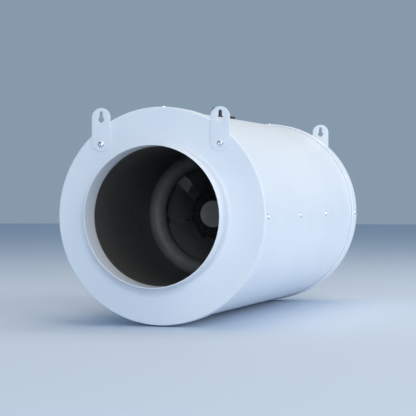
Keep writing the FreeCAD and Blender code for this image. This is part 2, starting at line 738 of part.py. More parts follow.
def make_casing_screws():
    """The skirt screws of both caps, and the four screws that carry the fan unit."""
    skirt_screw = button_screw(
        "skirt_screw", button_radius, button_height, thread_radius, cap_step + cap_screw_reach)
    for end, _, station in ENDS:
        row = station(collar_length + cap_screw_inset)
        copies(f"cap_screws_{end}", skirt_screw, clock_places(cap_radius, row))
    fan_screw = button_screw(
        "fan_screw", button_radius, button_height, thread_radius, rail_screw_reach)
    places = []
    for row in (rail_front, rail_rear):
        sides = clock_places(casing_radius, row)
        places += [sides[1], sides[3]]
    copies("fan_screws", fan_screw, places)


# ---------------------------------------------------------------------------------------------
# Acoustic lining
# ---------------------------------------------------------------------------------------------

def make_lining():
    """Foam sleeves at both ends, a split foam wrap round the fan, and the black facings."""
    foam_outer = casing_inner - fit
    foam_start = collar_length + foam_setback
    reach = bell_minor + rest_gap
    foam_end = bell_y - side(reach, duct_inner - bell_major)
    facing_end = bell_y - side(reach, facing_inner - bell_major)
    foam_step = rail_front - rail_end - slot_margin
    front_foam = turned("inlet_foam", [
        (duct_inner, foam_start), (foam_outer, foam_start), (foam_outer, foam_step),
        (sleeve_radius, foam_step), (sleeve_radius, foam_end), (duct_inner, foam_end)])
    piece(front_foam, "inlet_foam")
    rear_start = housing_end + rest_gap
    rear_foam = turned("outlet_foam", [
        (duct_inner, rear_start), (foam_outer, rear_start), (foam_outer, rear(foam_start)),
        (duct_inner, rear(foam_start))])
    piece(rear_foam, "outlet_foam")
    facing_start = collar_length - facing_overlap
    for name, low, high in (("inlet_facing", facing_start, facing_end),
                            ("outlet_facing", rear_start, rear(facing_start))):
        facing = turned(name, [
            (facing_inner, low), (facing_outer, low), (facing_outer, high), (facing_inner, high)])
        piece(facing, name)
    wrap_end = rail_rear + rail_end
    wrap = turned("fan_foam", [
        (wrap_inner, bell_y), (foam_outer, bell_y), (foam_outer, wrap_end), (wrap_inner, wrap_end)])
    half_slot = rail_width / 2 + slot_margin
    slots = sketch_on(wrap, "YZ_Plane", "BracketSlots")
    outline(slots, [
        (bell_y - fit, -half_slot), (wrap_end + fit, -half_slot), (wrap_end + fit, half_slot),
        (bell_y - fit, half_slot)])
    cut_through(wrap, slots, "BracketSlotsCut")
    pockets = [(0, gland_y, entry_pocket), (0, socket_y, entry_pocket)]
    drill(wrap, "XY_Plane", "TopPockets", pockets, one_way=True)
    piece(wrap, "fan_foam")


# ---------------------------------------------------------------------------------------------
# Fan unit: bell mouth, housing and the brackets that carry it
# ---------------------------------------------------------------------------------------------

def make_bell_mouth():
    """The bell mouth: a rolled lip that curls back, a short throat and a screwed rear flange."""
    bell = body("bell_mouth")
    sketch = sketch_on(bell, "XY_Plane", "Lip")
    middle = Vector(float(bell_major), float(bell_y), 0)
    arcs = []
    for radius in (bell_minor, bell_minor - bell_wall):
        ring = Part.Circle(middle, Vector(0, 0, 1), float(radius))
        arc = sketch.addGeometry(Part.ArcOfCircle(ring, math.pi, 2 * math.pi), False)
        fix_radius(sketch, arc, radius)
        fix_point(sketch, arc, CENTRE, bell_major, bell_y)
        fix_point(sketch, arc, START, None, bell_y)
        fix_point(sketch, arc, END, None, bell_y)
        arcs.append(arc)
    outer, inner = arcs
    inside = throat + bell_wall
    flange_start = housing_y - joint_flange
    path = [
        (throat, bell_y), (throat, housing_y), (throat + joint_width, housing_y),
        (throat + joint_width, flange_start), (inside, flange_start), (inside, bell_y)]
    points = [Vector(float(across), float(up), 0) for across, up in path]
    lines = [sketch.addGeometry(Part.LineSegment(points[number], points[number + 1]), False)
             for number in range(len(points) - 1)]
    for first, second in zip(lines, lines[1:]):
        join_ends(sketch, first, END, second, START)
    for line, (across, up) in zip(lines[1:], path[1:]):
        fix_point(sketch, line, START, across, up)
    join_ends(sketch, outer, START, lines[0], START)
    join_ends(sketch, inner, START, lines[-1], END)
    tips = [Vector(float(bell_major + radius), float(bell_y), 0)
            for radius in (bell_minor - bell_wall, bell_minor)]
    end = sketch.addGeometry(Part.LineSegment(tips[0], tips[1]), False)
    join_ends(sketch, inner, END, end, START)
    join_ends(sketch, outer, END, end, END)
    turn(bell, sketch)
    joint_screw_holes(bell, True)
    piece(bell, "bell_mouth")


def joint_screw_holes(owner, forwards):
    """Four holes through one flange of the joint between the bell mouth and the housing."""
    pitch = (throat + joint_width - joint_edge) * math.sqrt(0.5)
    places = [(sign_x * pitch, sign_z * pitch) for sign_x in (1, -1) for sign_z in (1, -1)]
    sketch = sketch_on(owner, "XZ_Plane", "FlangeCircles")
    bind(sketch, "AttachmentOffset.Base.z", -housing_y)
    for across, up in places:
        circle(sketch, across, up, joint_hole)
    holes = owner.newObject("PartDesign::Pocket", "FlangeHoles")
    holes.Profile = sketch
    holes.Reversed = forwards
    bind(holes, "Length", joint_flange + fit)
    return places


def make_housing():
    """The mixed-flow housing: a widening shell with side bosses and an outlet rim."""
    bore = throat + fit
    cone_end = housing_y + housing_cone
    neck_end = housing_y + joint_flange + housing_neck
    rim_start = housing_end - outlet_rim
    outside = outlet_inner + housing_wall
    rim = facing_inner - fit
    shell = turned("fan_housing", [
        (0, housing_y), (throat + joint_width, housing_y),
        (throat + joint_width, housing_y + joint_flange),
        (bore + housing_wall, housing_y + joint_flange), (bore + housing_wall, neck_end),
        (outside, cone_end), (outside, rim_start), (rim, rim_start), (rim, housing_end),
        (0, housing_end)])
    rods = sketch_on(shell, "YZ_Plane", "BossCircles")
    rows = [bell_y + isolator_front, bell_y + isolator_rear]
    for row in rows:
        circle(rods, row, 0, boss_radius)
    pad(shell, rods, 2 * (seat_x - isolator_length), "Bosses", symmetric=True)
    hollow(shell, [
        (0, housing_y - fit), (bore, housing_y - fit), (bore, neck_end), (outlet_inner, cone_end),
        (outlet_inner, housing_end + fit), (0, housing_end + fit)], "AirPath")
    drill(shell, "YZ_Plane", "BoltHoles", [(row, 0, isolator_bolt + fit) for row in rows])
    places = joint_screw_holes(shell, False)
    piece(shell, "fan_housing")
    screw = button_screw(
        "flange_screw", flange_head, flange_head_height, joint_hole - fit, 2 * joint_flange + screw_tip)
    joint_end = housing_y + joint_flange
    copies("bell_mouth_screws", screw,
           [(across, joint_end, up, AXIS_X, -90) for across, up in places])
    return rows


def make_fan_brackets(rows):
    """Hat-section sheet brackets from the casing to rubber isolators on the housing."""
    front_leg = bell_y
    rear_leg = bell_y + rail_rear_leg
    low = rail_front - rail_end
    high = rail_rear + rail_end
    bolt = isolator_bolt + fit
    for hand, sign in (("left", -1), ("right", 1)):
        bracket = body(f"fan_bracket_{hand}")
        sketch = sketch_on(bracket, "XY_Plane", "Hat")
        outline(sketch, [
            (sign * rail_x, low), (sign * rail_x, front_leg),
            (sign * (seat_x + rail_wall), front_leg), (sign * (seat_x + rail_wall), rear_leg),
            (sign * rail_x, rear_leg), (sign * rail_x, high),
            (sign * (rail_x - rail_wall), high), (sign * (rail_x - rail_wall), rear_leg + rail_wall),
            (sign * seat_x, rear_leg + rail_wall), (sign * seat_x, front_leg - rail_wall),
            (sign * (rail_x - rail_wall), front_leg - rail_wall), (sign * (rail_x - rail_wall), low)])
        pad(bracket, sketch, rail_width, "Strip", symmetric=True)
        holes = [(row, 0, thread_radius + fit) for row in (rail_front, rail_rear)]
        holes += [(row, 0, bolt) for row in rows]
        drill(bracket, "YZ_Plane", "BracketHoles", holes)
        piece(bracket, f"fan_bracket_{hand}")
    isolator = turned("isolator", [
        (bolt, -isolator_length), (isolator_radius, -isolator_length), (isolator_radius, 0), (bolt, 0)],
        "XZ_Plane")
    bolt_reach = seat_x + rail_wall - outlet_inner - rest_gap
    bolt_body = button_screw("isolator_bolt", bolt_head, bolt_head_height, isolator_bolt, bolt_reach)
    nut = body("weld_nut")
    hexagon_sketch = sketch_on(nut, "XY_Plane", "Hexagon")
    hexagon(hexagon_sketch, weld_nut_flats)
    circle(hexagon_sketch, 0, 0, thread_radius + fit)
    pad(nut, hexagon_sketch, weld_nut_height)
    isolators = []
    bolts = []
    nuts = []
    for sign, angle in ((1, 90), (-1, 270)):
        for row in rows:
            isolators.append((sign * seat_x, row, 0, AXIS_Y, angle))
            bolts.append((sign * (seat_x + rail_wall), row, 0, AXIS_Y, angle))
        for row in (rail_front, rail_rear):
            nuts.append((sign * (rail_x - rail_wall - weld_nut_height), row, 0, AXIS_Y, angle))
    copies("isolators", isolator, isolators)
    copies("isolator_bolts", bolt_body, bolts)
    copies("weld_nuts", nut, nuts)


# ---------------------------------------------------------------------------------------------
# Blades and vanes
# ---------------------------------------------------------------------------------------------

SECTION_STEPS = 8
BLADE_SHARES = (-0.25, 0.1, 0.4, 0.7, 1, 1.15)      # root to tip, past both ends
VANE_SHARES = (-0.12, 0.5, 1.1)
EDGE_SHARE = 0.35                                   # thickness of a blade's edges, as a share
FRONT_SHARE = 0.08                                  # how far the thickest place lies forwards


def blade_section(radius, lead, trail, low, high, bow, thickness):
    """A closed blade section wrapped on a cylinder round Y: angles in degrees, bow in millimetres."""
    upper = []
    lower = []
    slope_along = high - low
    slope_round = math.radians(trail - lead) * radius
    length = math.hypot(slope_along, slope_round)
    for step in range(SECTION_STEPS + 1):
        share = step / SECTION_STEPS
        rise = bow * 4 * share * (1 - share)
        fullness = math.sin(math.pi * min(share + FRONT_SHARE, 1)) ** 0.5
        half = thickness / 2 * (EDGE_SHARE + (1 - EDGE_SHARE) * fullness)
        for points, offset in ((upper, rise + half), (lower, rise - half)):
            round_way = math.radians(lead) * radius + share * slope_round - offset * slope_along / length
            along = low + share * slope_along + offset * slope_round / length
            angle = round_way / radius
            points.append(Vector(radius * math.cos(angle), along, radius * math.sin(angle)))
    curves = []
    for points in (upper, list(reversed(lower))):
        curve = Part.BSplineCurve()
        curve.interpolate(points)
        curves.append(curve.toShape())
    caps = [Part.makeLine(upper[-1], lower[-1]), Part.makeLine(lower[0], upper[0])]
    return Part.Wire([curves[0], caps[0], curves[1], caps[1]])


def ring_solid(corners):
    """A solid of revolution round Y through corners given as (radius, along)."""
    points = [Vector(float(radius), float(along), 0) for radius, along in corners]
    face = Part.Face(Part.makePolygon(points + points[:1]))
    return face.revolve(Vector(0, 0, 0), AXIS_Y, 360)


def blade_ring(sections, count, envelope):
    """Blades lofted through their sections, trimmed to an envelope and repeated round Y."""
    blade = Part.makeLoft(sections, True).common(envelope).Solids[0]
    blades = []
    for number in range(count):
        copy = blade.copy()
        copy.rotate(Vector(0, 0, 0), AXIS_Y, -360 / count * number)
        blades.append(copy)
    return Part.makeCompound(blades)


def hub_outline():
    """The outside of the impeller's hub, from the nose cap to its rear edge."""
    return [
        (nose_radius + hub_rim, hub_y), (hub_front, hub_y + hub_slope),
        (hub_front + hub_swell, hub_y + hub_middle), (hub_rear, hub_end)]


def make_impeller():
    """The impeller: a hollow conical hub with cooling slots, a web and swept blades."""
    outside = hub_outline()
    web = nose_y + can_setback
    spigot = nose_radius - nose_spigot + fit
    eye = shaft_radius + web_clear
    seat = can_radius + fit
    middle = hub_y + hub_middle + root_bite
    hub = turned("impeller_hub", outside + [
        (hub_rear - hub_wall, hub_end), (hub_front + hub_swell - hub_wall, middle),
        (seat, hub_y + can_seat), (seat, web), (eye, web), (eye, web - hub_wall),
        (spigot, web - hub_wall), (spigot, hub_y)])
    slots = sketch_on(hub, "XZ_Plane", "VentSlot")
    inner = nose_radius + vent_start
    outer = hub_front - vent_stop
    outline(slots, [
        (inner, -vent_half), (outer, -vent_half), (outer, vent_half), (inner, vent_half)])
    vent = hub.newObject("PartDesign::Pocket", "Vent")
    vent.Profile = slots
    bind(vent, "Length", hub_y + vent_depth)
    repeat_round(hub, vent, vent_count)

    neck = housing_y + joint_flange + housing_neck
    low = nose_y - blade_overhang
    high = hub_end - blade_tail
    bore = throat + fit
    tip_end = bore + (outlet_inner - bore) * (high - neck) / (housing_y + housing_cone - neck)
    envelope = ring_solid([
        (nose_radius, low), (bore - tip_gap, low), (bore - tip_gap, neck),
        (tip_end - tip_gap, high), (hub_rear - hub_wall, high),
        (hub_front + hub_swell - root_bite, middle),
        (hub_front - 1.5 * root_bite, hub_y + hub_slope + root_bite),
        (nose_radius, hub_y + 2 * root_bite)])
    sections = []
    for share in BLADE_SHARES:
        radius = hub_front + share * (tip_end - hub_front)
        lead = blade_lead + blade_sweep * (1 - share)
        start = hub_y + hub_slope - blade_rake * share
        end = high - root_tail + (root_tail - tip_tail) * share
        bow = root_bow + (tip_bow - root_bow) * share
        sections.append(blade_section(
            float(radius), float(lead), float(lead + blade_wrap), float(start), float(end),
            float(bow), float(blade_thickness)))
    blades = doc.addObject("Part::Feature", "impeller_blades")
    blades.Shape = blade_ring(sections, int(float(blade_count)), envelope)
    impeller = doc.addObject("Part::MultiFuse", "impeller")
    impeller.Shapes = [hub, blades]
    piece(impeller, "impeller")


def make_vane_carrier():
    """The guide vanes with their outer ring and the hub that carries the motor."""
    ring_outer = outlet_inner - fit
    ring_inner = ring_outer - ring_wall
    ring_start = carrier_y + ring_setback
    ring_end = ring_start + vane_length
    wall_end = carrier_y + carrier_front
    tail = carrier_y + carrier_length
    tail_inner = carrier_tail - hub_wall
    eye = bearing_radius + tube_wall + carrier_clear
    hub = turned("vane_hub", [
        (eye, carrier_y), (hub_rear, carrier_y), (carrier_tail, tail), (tail_inner, tail),
        (hub_rear - hub_wall, wall_end), (eye, wall_end)])
    drill(hub, "XZ_Plane", "MotorHoles", flange_screw_places())
    ring = turned("vane_ring", [
        (ring_inner, ring_start), (ring_outer, ring_start), (ring_outer, ring_end),
        (ring_inner, ring_end)])
    vane_tips = ring_inner + ring_wall / 2
    envelope = ring_solid([
        (hub_rear - vane_bite, carrier_y + vane_inset), (vane_tips, carrier_y + vane_inset),
        (vane_tips, tail), (carrier_tail - vane_bite, tail)])
    sections = []
    for share in VANE_SHARES:
        radius = carrier_tail + share * (ring_inner - carrier_tail)
        sections.append(blade_section(
            float(radius), float(vane_lead), float(vane_trail), float(ring_start + vane_inset),
            float(ring_end - vane_inset), -float(vane_bow), float(vane_wall)))
    vanes = doc.addObject("Part::Feature", "vanes")
    vanes.Shape = blade_ring(sections, int(float(vane_count)), envelope)
    carrier = doc.addObject("Part::MultiFuse", "vane_carrier")
    carrier.Shapes = [hub, ring, vanes]
    piece(carrier, "vane_carrier")
    cover = turned("motor_cover", [
        (0, tail), (tail_inner - fit, tail), (carrier_tail - fit, tail + fit),
        (carrier_tail - fit, tail + cover_wall), (0, tail + cover_wall)])
    round_edges(cover, cover_edge, [(carrier_tail - fit, "y", tail + cover_wall)])
    piece(cover, "motor_cover")


# ---------------------------------------------------------------------------------------------
# Motor
# ---------------------------------------------------------------------------------------------

def flange_screw_places():
    """Four screw holes through the motor flange and the guide vanes' hub."""
    pitch = (flange_radius - flange_edge) * math.sqrt(0.5)
    return [(sx * pitch, sz * pitch, motor_hole) for sx in (1, -1) for sz in (1, -1)]


def make_motor():
    """The external-rotor motor: what turns is held on the shaft, the rest on its flange."""
    can_y = nose_y + can_setback
    can_end = can_y + can_length
    can_inner = can_radius - can_wall
    flange_y = carrier_y - flange_wall
    tube_radius = bearing_radius + tube_wall
    can_wall_end = can_y + can_wall
    boss_end = can_wall_end + can_boss_length
    boss_outside = shaft_radius + can_boss
    tube_start = can_wall_end + tube_gap
    stator_radius = can_inner - magnet_wall - air_gap
    stack_y = tube_start + stack_offset

    spigot = nose_radius - nose_spigot
    spigot_end = hub_y + nose_spigot_length
    nose = turned("nose_cap", [
        (0, nose_y), (nose_radius, nose_y), (nose_radius, hub_y - fit), (spigot, hub_y - fit),
        (spigot, spigot_end), (spigot - nose_face, spigot_end), (spigot - nose_face, nose_y + nose_face),
        (0, nose_y + nose_face)])
    round_edges(nose, nose_edge, [(nose_radius, "y", nose_y)])
    piece(nose, "nose_cap")

    can = turned("rotor_can", [
        (shaft_radius, can_y), (can_radius, can_y), (can_radius, can_end), (can_inner, can_end),
        (can_inner, can_wall_end), (boss_outside, can_wall_end), (boss_outside, boss_end),
        (shaft_radius, boss_end)])
    piece(can, "rotor_can")
    magnet_inner = can_inner - magnet_wall
    magnets = turned("magnet_ring", [
        (magnet_inner, can_y + magnet_front), (can_inner, can_y + magnet_front),
        (can_inner, can_end - magnet_rear), (magnet_inner, can_end - magnet_rear)])
    piece(magnets, "magnet_ring")

    shaft_start = can_y - shaft_nose
    shaft_end = carrier_y + shaft_tail
    groove_y = carrier_y + groove_setback
    groove_end = groove_y + clip_wall + fit
    groove_radius = shaft_radius - groove_depth
    shaft = turned("motor_shaft", [
        (0, shaft_start), (shaft_radius, shaft_start), (shaft_radius, groove_y),
        (groove_radius, groove_y), (groove_radius, groove_end), (shaft_radius, groove_end),
        (shaft_radius, shaft_end), (0, shaft_end)])
    piece(shaft, "motor_shaft")
    clip_outside = shaft_radius + clip_width
    clip = turned("retaining_clip", [
        (groove_radius, groove_y), (clip_outside, groove_y), (clip_outside, groove_y + clip_wall),
        (groove_radius, groove_y + clip_wall)])
    opening = sketch_on(clip, "XZ_Plane", "ClipOpening")
    outline(opening, [
        (-clip_gap, 0), (clip_gap, 0), (clip_gap, 2 * clip_outside), (-clip_gap, 2 * clip_outside)])
    cut_through(clip, opening, "ClipGap")
    piece(clip, "retaining_clip")

    flange = turned("motor_flange", [
        (bearing_radius, tube_start), (tube_radius, tube_start), (tube_radius, flange_y),
        (flange_radius, flange_y), (flange_radius, carrier_y), (bearing_radius, carrier_y)])
    drill(flange, "XZ_Plane", "MotorHoles", flange_screw_places())
    piece(flange, "motor_flange")
    motor_screw = button_screw("motor_screw", motor_head, motor_head_height, motor_hole - fit,
                               carrier_front + flange_wall - screw_tip)
    head_y = carrier_y + carrier_front
    copies("motor_screws", motor_screw,
           [(across, head_y, up, AXIS_X, -90) for across, up, _ in flange_screw_places()])

    bore = shaft_radius + running
    half = bearing_width / 2
    recess = half - race_recess
    inner_race = bore + race_wall
    outer_race = bearing_radius - race_wall
    ring = turned("bearing", [
        (bore, -half), (inner_race, -half), (inner_race, -recess), (outer_race, -recess),
        (outer_race, -half), (bearing_radius, -half), (bearing_radius, half), (outer_race, half),
        (outer_race, recess), (inner_race, recess), (inner_race, half), (bore, half)])
    inset = half + bearing_inset
    copies("bearings", ring, [
        (0, tube_start + inset, 0, None, 0), (0, carrier_y - inset, 0, None, 0)])

    core = body("stator_core")
    yoke = sketch_on(core, "XZ_Plane", "Yoke")
    circle(yoke, 0, 0, tube_radius + yoke_wall)
    circle(yoke, 0, 0, tube_radius)
    pad(core, yoke, stack_length, "YokePad", symmetric=True)
    tooth = sketch_on(core, "XZ_Plane", "Tooth")
    half_tooth = tooth_width / 2
    half_shoe = half_tooth + shoe_reach
    shoe = side(stator_radius, half_shoe)
    shoe_start = shoe - shoe_wall
    tooth_start = tube_radius + yoke_wall / 2
    outline(tooth, [
        (tooth_start, -half_tooth), (shoe_start, -half_tooth), (shoe_start, -half_shoe),
        (shoe, -half_shoe), (shoe, half_shoe), (shoe_start, half_shoe), (shoe_start, half_tooth),
        (tooth_start, half_tooth)])
    tooth_pad = pad(core, tooth, stack_length, "ToothPad", symmetric=True)
    repeat_round(core, tooth_pad, tooth_count)
    move_to(core, 0, stack_y, 0)
    piece(core, "stator_core")

    coils = body("stator_windings")
    coil = sketch_on(coils, "YZ_Plane", "Coil")
    for extra in (as_size(0), coil_wall):
        reach = stack_length / 2 + fit + extra
        width = half_tooth + fit + extra
        outline(coil, [(-reach, -width), (reach, -width), (reach, width), (-reach, width)])
    coil_start = tube_radius + yoke_wall + coil_gap
    bind(coil, "AttachmentOffset.Base.z", coil_start)
    coil_pad = pad(coils, coil, shoe - coil_gap - coil_start, "CoilPad")
    repeat_round(coils, coil_pad, tooth_count)
    move_to(coils, 0, stack_y, 0)
    piece(coils, "stator_windings")

    board_end = flange_y - board_gap
    board_y = board_end - board_wall
    board_outside = can_inner - board_edge
    board = turned("driver_board", [
        (tube_radius + fit, board_y), (board_outside, board_y), (board_outside, board_end),
        (tube_radius + fit, board_end)])
    piece(board, "driver_board")


# ---------------------------------------------------------------------------------------------
# Cable gland and control socket on top of the casing
# ---------------------------------------------------------------------------------------------

def on_top(item, along, height=0):
    """Stands an upright body at a height over the casing's top."""
    move_to(item, 0, along, casing_radius + height)


def make_gland():
    """A cable gland: threaded body, washer, rubber seal, domed nut and a lock nut inside."""
    washer = turned("gland_washer", [
        (gland_thread + fit, fit), (gland_nut_radius, fit), (gland_nut_radius, gland_washer),
        (gland_thread + fit, gland_washer)], "XZ_Plane")
    on_top(washer, gland_y)
    piece(washer, "gland_washer")

    bore = cable_radius + seal_lip
    hex_top = gland_washer + gland_hex
    neck = gland_nut_radius - gland_nut_wall
    neck_top = hex_top + gland_neck
    barrel = turned("gland_body", [
        (bore, -gland_tail), (gland_thread, -gland_tail), (gland_thread, gland_washer),
        (gland_flats / 2, gland_washer), (gland_flats / 2, hex_top), (neck, hex_top),
        (neck, neck_top), (bore, neck_top)], "XZ_Plane")
    collar = sketch_on(barrel, "XY_Plane", "Hexagon")
    hexagon(collar, gland_flats)
    circle(collar, 0, 0, gland_thread + fit)
    bind(collar, "AttachmentOffset.Base.z", gland_washer)
    pad(barrel, collar, gland_hex, "HexagonPad")
    on_top(barrel, gland_y)
    piece(barrel, "gland_body")

    seal_low = neck_top + fit
    seal_outside = neck - seal_gap
    nut_top = hex_top + gland_nut_height
    seal_top = nut_top - gland_nut_top
    seal = turned("gland_seal", [
        (cable_radius, seal_low), (seal_outside, seal_low), (seal_outside, seal_top),
        (cable_radius, seal_top)], "XZ_Plane")
    on_top(seal, gland_y)
    piece(seal, "gland_seal")

    nut = turned("gland_nut", [
        (neck + fit, hex_top + fit), (gland_nut_radius, hex_top + fit), (gland_nut_radius, nut_top),
        (bore, nut_top), (bore, seal_top + fit), (neck + fit, seal_top + fit)], "XZ_Plane")
    dome = gland_nut_radius - bore - gland_nut_flat
    round_edges(nut, dome, [(gland_nut_radius, "z", nut_top)], "Dome")
    on_top(nut, gland_y)
    piece(nut, "gland_nut")

    lock_nut = body("gland_lock_nut")
    sketch = sketch_on(lock_nut, "XY_Plane", "Hexagon")
    hexagon(sketch, gland_flats)
    circle(sketch, 0, 0, gland_thread + fit)
    pad(lock_nut, sketch, lock_nut_height)
    corner = gland_flats / math.sqrt(3) + fit
    on_top(lock_nut, gland_y, side(casing_inner, corner) - casing_radius - lock_nut_height)
    piece(lock_nut, "gland_lock_nut")


def make_control_socket():
    """A low socket for a speed control, with its nut inside the casing."""
    socket = body("control_socket")
    half_width = socket_width / 2
    half_length = socket_length / 2
    block = sketch_on(socket, "XY_Plane", "Block")
    outline(block, [
        (-half_width, -half_length), (half_width, -half_length), (half_width, half_length),
        (-half_width, half_length)])
    bind(block, "AttachmentOffset.Base.z", fit)
    pad(socket, block, socket_height - fit, "BlockPad")
    stem = sketch_on(socket, "XY_Plane", "Stem")
    circle(stem, 0, 0, stem_radius)
    pad(socket, stem, stem_length, "StemPad", symmetric=True)
    drill(socket, "XY_Plane", "Jack", [(0, 0, jack_radius)])
    on_top(socket, socket_y)
    piece(socket, "control_socket")
    nut = body("socket_nut")
    sketch = sketch_on(nut, "XY_Plane", "Hexagon")
    hexagon(sketch, socket_nut_flats)
    circle(sketch, 0, 0, stem_radius + fit)
    pad(nut, sketch, socket_nut_height)
    on_top(nut, socket_y, -(socket_nut_height + casing_wall + rest_gap))
    piece(nut, "socket_nut")


# ---------------------------------------------------------------------------------------------
# The assembly
# ---------------------------------------------------------------------------------------------

def check_model():
    """Stops if an object failed, a shape is broken or a cut took nothing away."""
    for item in doc.Objects:
        if "Invalid" in item.State or "Error" in item.State:
            raise RuntimeError(f"{item.Label} failed: {item.State}")
        if item.TypeId in ("PartDesign::Pocket", "PartDesign::Groove"):
            if item.Shape.Volume >= item.BaseFeature.Shape.Volume - 1e-6:
                raise RuntimeError(f"{item.Label} cuts nothing")
    for item in pieces:
        if item.Shape.isNull() or not item.Shape.isValid() or not item.Shape.Solids:
            raise RuntimeError(f"{item.Label} has no valid shape")


make_casing()
for end, port, station in ENDS:
    make_end_cap(f"{end}_end_cap", station)
    make_collar(f"{port}_collar", station)
make_brackets()
make_casing_screws()
make_lining()
make_bell_mouth()
make_fan_brackets(make_housing())
make_impeller()
make_vane_carrier()
make_motor()
make_gland()
make_control_socket()

doc.recompute()
check_model()
os.makedirs("parts", exist_ok=True)
for item in pieces:
    item.Shape.exportStep(f"parts/{item.Label}.step")
print(len(pieces), "nodes,", sum(len(item.Shape.Solids) for item in pieces), "solids")
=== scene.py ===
"""The looks of an in-line duct fan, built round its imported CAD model.

The duct axis is Y, with the inlet collar's free rim at the origin and Z up. All sizes are in metres.
"""
import json
import math

import bmesh
import bpy
from mathutils import Matrix, Vector


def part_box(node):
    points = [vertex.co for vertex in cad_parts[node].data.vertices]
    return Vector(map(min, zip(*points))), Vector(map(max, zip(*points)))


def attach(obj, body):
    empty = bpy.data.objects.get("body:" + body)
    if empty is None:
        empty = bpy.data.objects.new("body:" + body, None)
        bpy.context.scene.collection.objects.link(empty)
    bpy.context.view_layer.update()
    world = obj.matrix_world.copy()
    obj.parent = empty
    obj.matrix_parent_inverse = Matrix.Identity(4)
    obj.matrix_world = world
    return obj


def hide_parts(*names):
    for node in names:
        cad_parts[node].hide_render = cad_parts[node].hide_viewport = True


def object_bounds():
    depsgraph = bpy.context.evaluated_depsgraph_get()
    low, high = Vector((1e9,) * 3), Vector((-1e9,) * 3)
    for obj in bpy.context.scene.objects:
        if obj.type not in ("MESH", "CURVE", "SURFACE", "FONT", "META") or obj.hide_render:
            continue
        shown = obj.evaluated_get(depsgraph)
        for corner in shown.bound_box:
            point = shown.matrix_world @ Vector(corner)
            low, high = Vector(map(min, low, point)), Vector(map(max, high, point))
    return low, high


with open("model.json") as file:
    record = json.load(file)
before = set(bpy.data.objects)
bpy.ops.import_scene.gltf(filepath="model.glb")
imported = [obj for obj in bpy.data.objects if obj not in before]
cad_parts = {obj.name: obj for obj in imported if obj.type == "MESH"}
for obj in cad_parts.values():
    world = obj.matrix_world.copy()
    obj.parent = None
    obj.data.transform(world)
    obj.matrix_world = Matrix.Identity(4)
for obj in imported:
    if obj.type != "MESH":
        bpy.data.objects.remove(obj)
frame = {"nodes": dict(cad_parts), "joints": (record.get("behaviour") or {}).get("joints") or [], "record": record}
cad_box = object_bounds()

MM = 0.001
TURN = 2 * math.pi
ROUND = 192                 # steps round the large sheet parts
SMALL_ROUND = 48            # steps round a screw or a nut
SHARP = math.radians(32)    # edges over this angle stay crisp
SUPPORT_SHARE = 0.48        # of a straight stretch, the most that a corner with its support takes
WELD = 1e-7                 # points nearer than this become one

# ---------------------------------------------------------------------------------------------
# Sizes: read from the frame, with the thin sheet details named here
# ---------------------------------------------------------------------------------------------

record = frame["record"]
mounts = {mount["name"]: mount for mount in record["mounts"]}
joints = {joint["name"]: joint for joint in frame["joints"]}

FIT = 0.1 * MM
COLLAR_WALL = 1.2 * MM
NECK_STEP = 0.6 * MM
CAP_WALL = 1.5 * MM
LIP_WALL = 1.6 * MM
LIP_FILLET = 3.2 * MM
CAP_EDGE = 1.8 * MM
HEM = 4 * MM
CASING_WALL = 1.2 * MM
FACING_WALL = 0.8 * MM
BELL_MINOR = 13.5 * MM
BELL_WALL = 2.5 * MM
JOINT_FLANGE = 2.6 * MM
JOINT_WIDTH = 14 * MM
SLEEVE = 122 * MM                       # outer radius of the inlet foam beside the bell mouth
WRAP = 112 * MM                         # inner radius of the foam round the fan unit
SLOT_HALF = 16 * MM                     # half width of the gaps in it for the fan brackets
FAN_HEAD = (4 * MM, 2 * MM)             # radius and height of a casing screw's head
PIVOT_HEAD = (4.75 * MM, 2.6 * MM)      # the same for a bracket screw
STRAP_HALF = 1 * MM                     # half the thickness of a hanging bracket

duct_radius = mounts["inlet_collar"]["dims"]["r_mm"] * MM
total_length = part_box("outlet_collar")[1].y
collar_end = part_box("inlet_collar")[1].y
flange_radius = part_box("inlet_collar")[1].x
lip_start, skirt_end = (corner.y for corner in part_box("front_end_cap"))
cap_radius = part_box("front_end_cap")[1].x
cap_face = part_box("bracket_front_left")[1].y + FIT
casing_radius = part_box("outer_casing")[1].x
casing_start, casing_end = (corner.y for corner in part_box("outer_casing"))
neck_radius = duct_radius - NECK_STEP
duct_inner = duct_radius - COLLAR_WALL
facing_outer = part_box("inlet_facing")[1].x

ALONG_DUCT = Matrix.Rotation(-math.pi / 2, 4, "X")     # turns a part's own Z to the duct's Y
REAR = Matrix.Translation((0, total_length, 0)) @ Matrix.Rotation(math.pi, 4, "Z")
ENDS = (("front", "inlet", Matrix.Identity(4)), ("rear", "outlet", REAR))


# ---------------------------------------------------------------------------------------------
# Materials
# ---------------------------------------------------------------------------------------------

def plain(name, colour, roughness, **sockets):
    """A material whose shader holds the numbers that are the same all over."""
    material = bpy.data.materials.new(name)
    material.use_nodes = True
    surface = material.node_tree.nodes["Principled BSDF"]
    surface.inputs["Base Color"].default_value = (*colour, 1)
    surface.inputs["Roughness"].default_value = roughness
    for socket, value in sockets.items():
        surface.inputs[socket.replace("_", " ")].default_value = value
    return material


def surface_of(material):
    """The material's shader node."""
    return material.node_tree.nodes["Principled BSDF"]


def add_node(material, kind, **inputs):
    """A new node of the material, with numbers set on its inputs."""
    node = material.node_tree.nodes.new(kind)
    for socket, value in inputs.items():
        node.inputs[socket.replace("_", " ")].default_value = value
    return node


def link(material, source, target):
    """Joins an output to an input."""
    material.node_tree.links.new(source, target)


